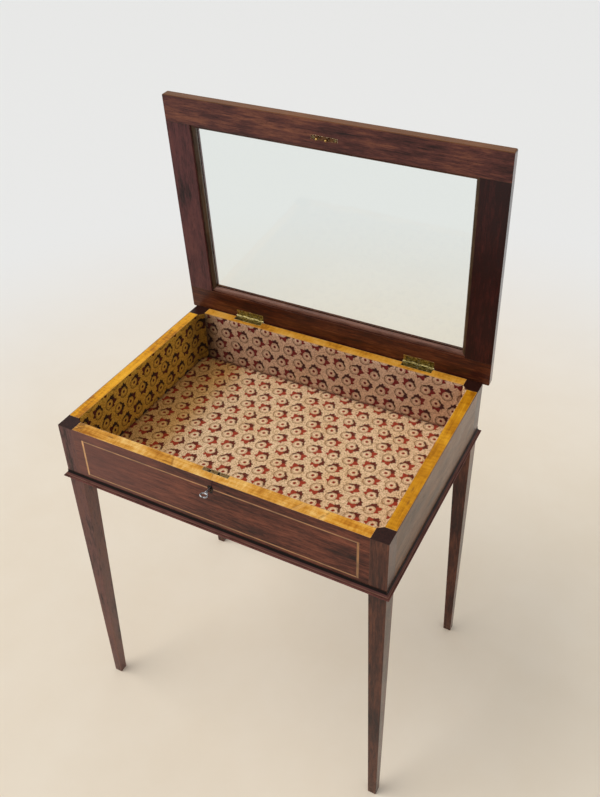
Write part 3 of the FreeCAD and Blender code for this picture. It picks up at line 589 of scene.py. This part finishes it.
def keyhole_painted_shade(f, colour):
    """Painted shade: near black in and just round the keyhole, standing for the dark hole and the key's
    shadow.
    """
    x, y, z = f.place()
    down = z - key_joint["pos_m"][2] * 1000
    hole = (x * x + down * down).root().between(6.4, 5.2)
    slot = x.band(0.6, 2.8, 1.0) * down.band(-6.0, 5.6, 1.0)
    return f.blend(hole.most(slot), colour, (0.002, 0.001, 0.001))


def dress_case():
    dress(mahogany("mahogany_front", ALONG_X, 0.23, mid=(0.096, 0.025, 0.015),
                   light=(0.23, 0.066, 0.034), gloss=0.14, extra=front_marks), "veneer_front")
    dress(mahogany("mahogany_back", ALONG_X, 0.57), "veneer_back")
    for side, board in (("left", 0.31), ("right", 0.47)):
        dress(mahogany("mahogany_end_" + side, ALONG_Y, board, mid=(0.135, 0.050, 0.015),
                       light=(0.22, 0.088, 0.030), gloss=0.22, contrast=0.7, end_polish=0.30),
              "veneer_" + side)
    dress(pale_wood("honey_front", ALONG_X, 0.15, light=(0.95, 0.60, 0.19), extra=rim_marks), "rail_front")
    dress(pale_wood("honey_back", ALONG_X, 0.45, mid=(0.74, 0.33, 0.030)), "rail_back")
    dress(pale_wood("honey_left", ALONG_Y, 0.65, mid=(0.82, 0.36, 0.014), light=(0.94, 0.48, 0.035)),
          "rail_left")
    dress(pale_wood("honey_right", ALONG_Y, 0.85, deep_tone=(0.34, 0.115, 0.003),
                    mid=(0.58, 0.235, 0.006), light=(0.76, 0.36, 0.016)), "rail_right")
    dress(raw_board("dry_board"), "bottom_board")


# Each check in the front rim: its middle, its lean and its width.
RIM_CHECKS = ((-80.0, 0.5, 3.0), (-1.0, 0.35, 0.9), (161.0, -0.6, 1.2), (211.0, -0.5, 3.2))


def rim_marks(f, colour):
    """Dark slanting checks in the front rim, each with a paler patch beside it, and a stained end."""
    x, y, z = f.place()
    tear = f.noise(f.point(x * 0.2, y * 0.2, z * 0.2), 1.0, 2.0)
    for middle, lean, wide in RIM_CHECKS:
        slant = x - middle + (y + 212.0) * lean
        colour = f.blend((slant - 3.0).band(0.0, 3.0, 3.0) * 0.30, colour, (0.92, 0.56, 0.20))
        dark = (slant + wide).band(0.0, wide * 0.4, wide * 0.7) * tear.between(0.35, 0.55)
        colour = f.blend(dark * 0.5, colour, (0.24, 0.095, 0.020))
    golden = x.between(209.0, 214.0)
    colour = f.blend(golden * 0.7, colour, (0.92, 0.80, 0.30), "MULTIPLY")
    stain = x.between(-268.0, -284.0) * tear.between(0.35, 0.55)
    return keyhole_painted_shade(f, f.blend(stain * 0.7, colour, (0.16, 0.062, 0.018)))


def moulding_bands(f, colour):
    """Painted light on the moulding: a near-black cove for the deep shade in its hollow, a painted sheen
    on its lower slope, a painted highlight along the fillet, a painted-shade quirk line, and a redder
    nosing that is partly rubbed wear and partly painted sheen.
    """
    x, y, z = f.place()
    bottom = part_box("moulding_front")[0].z * 1000
    patchiness = f.noise(f.point(x * 0.03, y * 0.03, z * 0.3), 1.0, 4.0)
    # Painted sheen: a paler, purpler band on the cove's lower slope, where it would mirror the bright
    # wall.
    slope_painted_sheen = z.band(bottom + 7.2, 1.6, 0.8) * patchiness.between(0.20, 0.60)
    colour = f.blend(slope_painted_sheen * 0.55, colour, (0.150, 0.060, 0.052))
    # Painted shade: the cove is made near black for the deep shade in its hollow.
    cove_painted_shade = z.band(bottom + 11.7, 2.9, 1.2)
    colour = f.blend(cove_painted_shade * 0.95, colour, (0.004, 0.002, 0.002))
    # Painted highlight: a light line along the small fillet.
    fillet_painted_highlight = z.band(bottom + 5.0, 0.35, 0.35) * patchiness.between(0.25, 0.55)
    colour = f.blend(fillet_painted_highlight * 0.8, colour, (0.24, 0.105, 0.070))
    # Painted shade: a dark line in the quirk.
    quirk_painted_shade = z.band(bottom + 4.0, 0.35, 0.35)
    colour = f.blend(quirk_painted_shade * 0.9, colour, (0.006, 0.002, 0.002))
    # The redder nosing is partly rubbed wear and partly painted sheen.
    nosing_wear_and_sheen = z.band(bottom + 2.2, 1.2, 0.7) * patchiness.between(0.25, 0.60)
    return f.blend(nosing_wear_and_sheen * 0.7, colour, (0.200, 0.068, 0.056))


def dress_moulding():
    for side, turn, board in (("front", ALONG_X, 0.12), ("back", ALONG_X, 0.52),
                              ("left", ALONG_Y, 0.72), ("right", ALONG_Y, 0.92)):
        dress(mahogany("mahogany_moulding_" + side, turn, board, extra=moulding_bands, contrast=0.7,
                       coat=0.0, gloss=0.10, end_polish=0.0, rough=0.42),
              "moulding_" + side)


def dress_stringing():
    uprights = (("stringing_left", 0.2, (0.62, 0.29, 0.095)),
                ("stringing_right", 0.5, (0.32, 0.125, 0.028)))
    for name, board, tone in uprights:
        dress(stringing_wood("light_" + name, ALONG_Z, board, name, tone, 0), name)
    levels = (("stringing_bottom", 0.3), ("stringing_top_left", 0.6), ("stringing_top_right", 0.9))
    for name, board in levels:
        dress(stringing_wood("light_" + name, ALONG_X, board, name, (0.41, 0.170, 0.052), 2), name)


# Each board of the lid: its light and its middle tone. The left stile's paler, purpler tones are painted
# light and reflection, and the right stile's near-black tones are painted shade.
LID_TONES_WITH_PAINTED_LIGHT = {"lid_front_rail": ((0.25, 0.085, 0.042), (0.098, 0.027, 0.021)),
             "lid_hinge_rail": ((0.19, 0.056, 0.018), (0.072, 0.0155, 0.006)),
             "lid_stile_left": ((0.150, 0.045, 0.036), (0.094, 0.0255, 0.0250)),
             "lid_stile_right": ((0.060, 0.011, 0.009), (0.022, 0.0040, 0.0040))}


def dress_lid():
    frames = (("lid_front_rail", ALONG_X, 0.18, 0.85), ("lid_hinge_rail", ALONG_X, 0.44, 0.85),
              ("lid_stile_left", ALONG_Z, 0.66, 0.8), ("lid_stile_right", ALONG_Z, 0.88, 0.8))
    for name, turn, board, contrast in frames:
        light, mid = LID_TONES_WITH_PAINTED_LIGHT[name]
        dress(mahogany("mahogany_" + name, turn, board, mid=mid, light=light, contrast=contrast,
                       extra=lid_marks), name)
    dress(mahogany("mahogany_bead_top", ALONG_X, 0.35, contrast=0.6, light=(0.19, 0.085, 0.05)),
          "lid_bead_front")
    # Painted light: the back bead is made much paler than the other beads, for its face that turns up to
    # the lamp when the lid stands open.
    dress(mahogany("mahogany_bead_back_painted_light", ALONG_X, 0.55, contrast=0.6, mid=(0.190, 0.084, 0.056),
                   light=(0.33, 0.165, 0.115)), "lid_bead_back")
    dress(mahogany("mahogany_bead_short", ALONG_Z, 0.75, contrast=0.6, mid=(0.070, 0.040, 0.020),
                   light=(0.15, 0.085, 0.045)), "lid_bead_left", "lid_bead_right")
    dress(pane_glass("old_pane"), "lid_glass")


FRONT_RAIL = 53.1     # width of the lid's front rail
HINGE_RAIL = 45.9     # from the hinge pins to the hinge rail's joint with the stiles
STILE_START = 283.0   # the stiles begin this far from the middle


def lid_marks(f, colour):
    """The lid's sun-faded edge, and the joint lines between stiles and rails."""
    x, y, z = f.place((OPEN, 0.0, 0.0), tuple(PIN))
    front_edge = -(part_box("lid_front_rail")[1].z - PIN.z) * 1000
    rail_joint = y.band(-HINGE_RAIL, 0.25, 0.4)
    outer_joint = y.band(front_edge + FRONT_RAIL, 0.25, 0.4)
    beyond = abs(x).between(STILE_START - 0.5, STILE_START + 0.5)
    joints = (rail_joint + outer_joint).least(1.0) * beyond
    colour = f.blend(joints * 0.85, colour, (0.008, 0.003, 0.003))
    edge = y.between(front_edge + 2.6, front_edge + 0.6)
    patchiness = f.noise(f.point(x * 0.02, y * 0.3, z * 0.3), 1.0, 4.0)
    return f.blend(edge * (0.40 + patchiness * 0.5).least(1.0), colour, (0.22, 0.088, 0.020))


def dress_metal():
    for part in ("case_leaf", "lid_leaf"):
        dress(aged_brass("olive_brass_" + part, age=0.55), f"hinge_left_{part}", f"hinge_right_{part}")
    dress(aged_brass("pin_brass", base=(0.85, 0.74, 0.42), tarnish=(0.40, 0.32, 0.14), age=0.1,
                     rough=0.28), "hinge_left_pin", "hinge_right_pin")
    dress(aged_brass("brown_brass", base=(0.44, 0.29, 0.12), tarnish=(0.17, 0.095, 0.036), age=0.4),
          "lock_top_plate")
    dress(aged_brass("link_brass", base=(0.17, 0.085, 0.038), tarnish=(0.062, 0.026, 0.016), age=0.4,
                     extra=studs_bright), "link_plate")
    # Painted shade: the lock's inner parts are made near black, so the slots in the top plate read dark.
    dress(aged_brass("hidden_brass_painted_shade", base=(0.060, 0.042, 0.018), tarnish=(0.014, 0.010, 0.006), rough=0.6),
          "lock_case", "lock_back_plate", "lock_bolt")
    dress(worn_steel("dark_steel", base=(0.16, 0.15, 0.14)), "lock_spring", "lock_screws")


# ---- new pieces ----------------------------------------------------------------------------------
def make_piece(name, mesh_shape, material, body, replaced=(), smooth=True):
    """Turn a finished bmesh into a named piece that rides on a body."""
    mesh = bpy.data.meshes.new(name)
    mesh_shape.to_mesh(mesh)
    mesh_shape.free()
    piece = bpy.data.objects.new(name, mesh)
    bpy.context.scene.collection.objects.link(piece)
    mesh.materials.append(material)
    if smooth:
        mesh.shade_smooth()
    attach(piece, body)
    if replaced:
        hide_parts(*replaced)
    return piece


def thicken(piece, thickness):
    modifier = piece.modifiers.new("cloth_thickness", "SOLIDIFY")
    modifier.thickness = thickness
    modifier.offset = -1.0
    modifier.use_even_offset = True


CLOTH = 0.0006       # thickness of the cloth
CLOTH_GAP = 0.0004   # paste between the cloth and its card


def ripple(shape, normal_of, height, scale):
    """Let the pasted cloth stand off the card by a hair here and there."""
    for vert in shape.verts:
        x, y, z = vert.co / scale
        wave = math.sin(2.1 * x + 1.3 * math.sin(1.7 * y + 0.6 * z)) * math.sin(1.9 * y + 1.1 * z + 0.8)
        vert.co += normal_of(vert) * (height * (0.5 + 0.5 * wave))


def cloth_outline():
    """Eight corners of the lined space, anticlockwise from the front rail's left end."""
    front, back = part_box("lining_front"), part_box("lining_back")
    left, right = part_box("lining_left"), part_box("lining_right")
    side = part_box("veneer_left")
    inset = CLOTH + CLOTH_GAP
    nip = inset * math.tan(math.pi / 8)
    x0, x1 = left[0].x + inset, right[1].x - inset
    y0, y1 = front[0].y + inset, back[1].y - inset
    return [Vector((front[0].x + nip, y0, 0)), Vector((front[1].x - nip, y0, 0)),
            Vector((x1, side[0].y + nip, 0)), Vector((x1, side[1].y - nip, 0)),
            Vector((back[1].x - nip, y1, 0)), Vector((back[0].x + nip, y1, 0)),
            Vector((x0, side[1].y - nip, 0)), Vector((x0, side[0].y + nip, 0))]


def wall_cloth(name, path, node, material, cuts):
    """A strip of cloth pasted on the inside of one wall, along a path of corners."""
    low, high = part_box(node)
    shape = bmesh.new()
    verts = [shape.verts.new((p.x, p.y, low.z)) for p in path]
    for pair in zip(verts, verts[1:]):
        shape.edges.new(pair)
    bmesh.ops.subdivide_edges(shape, edges=shape.edges[:], cuts=cuts, use_grid_fill=False)
    raised = bmesh.ops.extrude_edge_only(shape, edges=shape.edges[:])
    top = [item for item in raised["geom"] if isinstance(item, bmesh.types.BMVert)]
    bmesh.ops.translate(shape, verts=top, vec=(0, 0, high.z - low.z))
    upright = [edge for edge in shape.edges if abs(edge.verts[0].co.z - edge.verts[1].co.z) > 0.01]
    bmesh.ops.subdivide_edges(shape, edges=upright, cuts=14, use_grid_fill=True)
    bmesh.ops.recalc_face_normals(shape, faces=shape.faces[:])
    shape.normal_update()
    face = shape.faces[0]
    if face.normal.dot(-face.calc_center_median()) < 0:
        bmesh.ops.reverse_faces(shape, faces=shape.faces[:])
    shape.normal_update()
    ripple(shape, lambda vert: vert.normal, 0.0003, 0.045)
    piece = make_piece(name, shape, material, "table", (node,))
    thicken(piece, CLOTH)
    return piece


def floor_cloth(name, outline, material):
    """The floor's cloth: a rectangle with its four corners cut off round the posts."""
    low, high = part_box("lining_floor")
    wide, deep = high.x - low.x, high.y - low.y
    shape = bmesh.new()
    bmesh.ops.create_grid(shape, x_segments=72, y_segments=50, size=0.5)
    bmesh.ops.scale(shape, verts=shape.verts[:], vec=(wide, deep, 1.0))
    middle = (low + high) / 2
    bmesh.ops.translate(shape, verts=shape.verts[:], vec=(middle.x, middle.y, high.z - 0.0001))
    slants = [(outline[7], outline[0]), (outline[1], outline[2]), (outline[3], outline[4]),
              (outline[5], outline[6])]
    for start, end in slants:
        outward = Vector((end.y - start.y, start.x - end.x, 0)).normalized()
        bmesh.ops.bisect_plane(shape, geom=shape.verts[:] + shape.edges[:] + shape.faces[:],
                               plane_co=(start.x, start.y, 0), plane_no=outward, clear_outer=True)
    shape.normal_update()
    ripple(shape, lambda vert: Vector((0, 0, 1)), 0.0005, 0.060)
    area = sum(face.calc_area() for face in shape.faces)
    piece = make_piece(name, shape, material, "table", ("lining_floor",))
    thicken(piece, CLOTH)
    return piece


def make_lining():
    outline = cloth_outline()
    # Painted shadow: the floor cloth is tinted golden and darker toward the left wall, where that wall's
    # shadow falls.
    golden = (0.78, 0.62, 0.34)
    floor = printed_cotton("cotton_floor", 0, 1, -296.0, 152.6, 0.085, bowed=8.0,
                           painted_light_tones=((-165.0, -235.0, golden),))
    floor_cloth("cloth_floor", outline, floor)
    # Painted shade: the back wall's cloth is a darker, redder copy of the floor's, and darker still toward
    # the left corner in the left wall's shadow.
    back = printed_cotton("cotton_back_painted_shade", 0, 2, -291.5, 672.0, 0.03,
                          ground=((0.26, 0.15, 0.09), (0.50, 0.31, 0.20), (0.68, 0.45, 0.30)),
                          red=(0.155, 0.006, 0.009), maroon=(0.036, 0.003, 0.006),
                          olive=(0.078, 0.030, 0.011), painted_light_tones=((-238.0, -290.0, (0.30, 0.27, 0.17)),))
    wall_cloth("cloth_back", [outline[4], outline[5]], "lining_back", back, 60)
    front = printed_cotton("cotton_front", 0, 2, -284.0, 668.0, 0.02, facing=-1.0)
    wall_cloth("cloth_front", [outline[0], outline[1]], "lining_front", front, 60)
    # Painted shade: the left wall's cloth is a darker, olive copy of the floor's, with a painted golden
    # bounce light from the honey rim, and darker still toward the back corner.
    left = printed_cotton("cotton_left_painted_shade", 1, 2, -162.0, 682.4, 0.06,
                          ground=((0.27, 0.130, 0.010), (0.50, 0.265, 0.026), (0.66, 0.37, 0.050)),
                          red=(0.062, 0.003, 0.003), maroon=(0.010, 0.001, 0.002),
                          olive=(0.085, 0.032, 0.004), painted_light_tones=((120.0, 205.0, (0.45, 0.42, 0.40)),))
    wall_cloth("cloth_left", [outline[5], outline[6], outline[7], outline[0]], "lining_left", left, 20)
    right = printed_cotton("cotton_right", 1, 2, -190.0, 671.0, 0.02, facing=-1.0)
    wall_cloth("cloth_right", [outline[1], outline[2], outline[3], outline[4]], "lining_right", right, 20)


def screw_slice(radius, thickness, side, slot_width):
    """The disc under a screw's slot where side is 0, else the raised half on that side of it."""
    part = bmesh.new()
    bmesh.ops.create_circle(part, cap_ends=True, segments=32, radius=radius)
    if side:
        bmesh.ops.bisect_plane(part, geom=part.verts[:] + part.edges[:] + part.faces[:],
                               plane_co=(0, side * slot_width / 2, 0), plane_no=(0, -side, 0),
                               clear_outer=True)
    half = 0.5 * thickness
    bmesh.ops.translate(part, verts=part.verts[:], vec=(0, 0, -half if side else -thickness))
    raised = bmesh.ops.extrude_face_region(part, geom=part.faces[:], use_keep_orig=True)
    top = [item for item in raised["geom"] if isinstance(item, bmesh.types.BMVert)]
    bmesh.ops.translate(part, verts=top, vec=(0, 0, half))
    if side:
        rim = [edge for edge in part.edges if all(vert.co.z > -1e-6 for vert in edge.verts)]
        bmesh.ops.bevel(part, geom=rim, offset=0.00018, segments=2, profile=0.5, affect="EDGES",
                        material=-1)
    bmesh.ops.recalc_face_normals(part, faces=part.faces[:])
    return part


def slotted_head(radius, thickness, slot_width):
    """Flat screw head facing up: a disc with two raised halves, so the slot runs right across."""
    head = bmesh.new()
    for side in (-1, 0, 1):
        part = screw_slice(radius, thickness, side, slot_width)
        mesh = bpy.data.meshes.new("screw_part")
        part.to_mesh(mesh)
        part.free()
        head.from_mesh(mesh)
        bpy.data.meshes.remove(mesh)
    whole = bpy.data.meshes.new("screw_head")
    head.to_mesh(whole)
    head.free()
    return whole


SCREW_RADIUS = 0.0026
SCREW_SINK = 0.0001   # head below the plate's face
SHUT_GAP = 0.0006     # rim to the shut lid


def screw_group(name, places, turns, material, body, replaced, turn_over=None):
    """Heads with their slots turned this way and that, as one piece in place of its node."""
    shape = bmesh.new()
    head = slotted_head(SCREW_RADIUS, 0.0012, 0.0009)
    for place, turn in zip(places, turns):
        copy = head.copy()
        copy.transform(place @ Matrix.Rotation(turn, 4, "Z"))
        shape.from_mesh(copy)
        bpy.data.meshes.remove(copy)
    bpy.data.meshes.remove(head)
    if turn_over is not None:
        bmesh.ops.transform(shape, verts=shape.verts[:], matrix=turn_over)
    return make_piece(name, shape, material, body, (replaced,), smooth=False)


def make_screws():
    """Slotted heads in the hinge leaves and the link plate, a hair below the plates' faces."""
    brassy = aged_brass("screw_brass", base=(0.34, 0.26, 0.11), age=0.6, rough=0.42)
    flip = Matrix.Rotation(math.pi, 4, "X")
    for side, turns in (("left", (0.5, 2.1, 1.1)), ("right", (1.9, 0.2, 2.6))):
        low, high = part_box(f"hinge_{side}_case_screws")
        pitch = (high.x - low.x - 2 * SCREW_RADIUS) / 2
        row = [Vector((low.x + SCREW_RADIUS + i * pitch, (low.y + high.y) / 2, high.z)) for i in range(3)]
        places = [Matrix.Translation(p - Vector((0, 0, SCREW_SINK))) for p in row]
        screw_group(f"screws_case_{side}", places, turns, brassy, "table", f"hinge_{side}_case_screws")
        under = [Matrix.Translation((p.x, p.y, RIM + SHUT_GAP + SCREW_SINK)) @ flip for p in row]
        screw_group(f"screws_lid_{side}", under, turns[::-1], brassy, "lid",
                    f"hinge_{side}_lid_screws", SWING)
    low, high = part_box("link_plate_screws")
    shut = SWING.inverted() @ ((low + high) / 2)
    ends = [Matrix.Translation((x, shut.y, RIM + SHUT_GAP + SCREW_SINK)) @ flip
            for x in (low.x + SCREW_RADIUS, high.x - SCREW_RADIUS)]
    screw_group("screws_link", ends, (0.7, 1.4), brassy, "lid", "link_plate_screws", SWING)


BOW_WIRE = 0.0014
BOW_RING = 0.0046
BOW_STRETCH = 0.00225   # half the straight part across the oval


def key_stem(shape, bow_y, tip):
    """Stem with two collars, turned about the Y axis from the bow to the tip."""
    profile = [(0.0, bow_y + BOW_RING - 0.0006), (0.0024, bow_y + BOW_RING - 0.0006),
               (0.0024, bow_y + 0.0062), (0.0019, bow_y + 0.0068), (0.0031, bow_y + 0.0074),
               (0.0031, bow_y + 0.0086), (0.0021, bow_y + 0.0092), (0.0021, tip - 0.0004),
               (0.0017, tip), (0.0, tip)]
    verts = [shape.verts.new((r, y, 0)) for r, y in profile]
    edges = [shape.edges.new(pair) for pair in zip(verts, verts[1:])]
    bmesh.ops.spin(shape, geom=verts + edges, cent=(0, 0, 0), axis=(0, 1, 0), angle=2 * math.pi,
                   steps=32, use_merge=True)
    bmesh.ops.remove_doubles(shape, verts=shape.verts[:], dist=1e-6)


def key_bow(shape, bow_y):
    """Round wire drawn into an oval ring."""
    upright = Matrix.Translation((BOW_RING, 0, 0)) @ Matrix.Rotation(math.pi / 2, 4, "X")
    hoop = bmesh.ops.create_circle(shape, cap_ends=False, segments=16, radius=BOW_WIRE, matrix=upright)
    before = set(shape.verts)
    loop_edges = list({edge for vert in hoop["verts"] for edge in vert.link_edges})
    bmesh.ops.spin(shape, geom=hoop["verts"] + loop_edges, cent=(0, 0, 0), axis=(0, 0, 1),
                   angle=2 * math.pi, steps=48, use_merge=True)
    bow = {vert for vert in shape.verts if vert not in before} | set(hoop["verts"])
    bow = [vert for vert in bow if vert.is_valid]
    for vert in bow:
        vert.co.x += BOW_STRETCH * vert.co.x / math.hypot(vert.co.x, vert.co.y)
    bmesh.ops.translate(shape, verts=bow, vec=(0, bow_y, 0))


def key_bit(shape, tip):
    """Flat bit at the tip, its edges just eased."""
    bit = bmesh.ops.create_cube(shape, size=1.0)
    reach, width = 0.0065, 0.004
    bmesh.ops.scale(shape, verts=bit["verts"], vec=(reach, width, 0.0018))
    bmesh.ops.translate(shape, verts=bit["verts"], vec=(-reach / 2, tip - 0.0006 - width / 2, 0))
    bit_edges = list({edge for vert in bit["verts"] for edge in vert.link_edges})
    bmesh.ops.bevel(shape, geom=bit_edges, offset=0.0002, segments=2, profile=0.5, affect="EDGES",
                    material=-1)


def make_key():
    """Turned stem with collars, a drawn oval bow and a bit, laid out along the key's axis."""
    low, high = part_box("key")
    axis = Vector((key_joint["pos_m"][0], 0, key_joint["pos_m"][2]))
    bow_y = low.y + BOW_WIRE + BOW_RING + 0.0015
    shape = bmesh.new()
    key_stem(shape, bow_y, high.y)
    key_bow(shape, bow_y)
    key_bit(shape, high.y)
    bmesh.ops.translate(shape, verts=shape.verts[:], vec=axis)
    bmesh.ops.recalc_face_normals(shape, faces=shape.faces[:])
    key = make_piece("turned_key", shape, worn_steel("key_steel"), "key", ("key",))
    key.data.set_sharp_from_angle(angle=math.radians(35))


# ---- stage ---------------------------------------------------------------------------------------
def make_floor():
    """Plain pale floor that grows whiter away from the table."""
    shape = bmesh.new()
    bmesh.ops.create_circle(shape, cap_ends=True, segments=96, radius=9.0)
    mesh = bpy.data.meshes.new("floor")
    shape.to_mesh(mesh)
    shape.free()
    floor = bpy.data.objects.new("floor", mesh)
    bpy.context.scene.collection.objects.link(floor)
    f = Finish("pale_floor")
    x, y, z = f.place()
    away = (x * x + y * y).root()
    clouds = f.noise(f.point(x, y, 0.0), 0.004, 4.0, 0.6)
    warm = f.ramp(clouds, [(0.3, (0.86, 0.75, 0.60)), (0.7, (0.89, 0.79, 0.65))])
    colour = f.blend(away.between(800.0, 2400.0), warm, (0.88, 0.88, 0.87))
    mesh.materials.append(f.shade(Base_Color=colour, Roughness=0.6, Specular_IOR_Level=0.3))


def make_light():
    """One broad soft lamp from the front left and an even pale room."""
    world = bpy.data.worlds.new("soft_room")
    world.use_nodes = True
    world.node_tree.nodes["Background"].inputs["Color"].default_value = (0.95, 0.96, 0.97, 1.0)
    world.node_tree.nodes["Background"].inputs["Strength"].default_value = 0.62
    bpy.context.scene.world = world
    lamp = bpy.data.lights.new("window", "SUN")
    lamp.energy = 1.5
    lamp.angle = math.radians(50)
    lamp.color = (1.0, 0.985, 0.96)
    light = bpy.data.objects.new("window", lamp)
    light.rotation_euler = Vector((2.2, 1.1, -2.6)).to_track_quat("-Z", "Y").to_euler()
    bpy.context.scene.collection.objects.link(light)


def make_camera():
    lens = bpy.data.cameras.new("view")
    lens.sensor_width = 36.0
    lens.lens = 38.839
    lens.shift_x = -0.01876
    lens.shift_y = -0.05227
    camera = bpy.data.objects.new("view", lens)
    camera.location = (0.64346, -1.07611, 1.71047)
    camera.rotation_euler = (0.956878, 0.0116714, 0.471264)
    bpy.context.scene.collection.objects.link(camera)
    bpy.context.scene.camera = camera


dress_legs()
dress_case()
dress_moulding()
dress_stringing()
dress_lid()
dress_metal()
make_lining()
make_screws()
make_key()
make_floor()
make_light()
make_camera()
bpy.context.scene.view_settings.view_transform = "Standard"
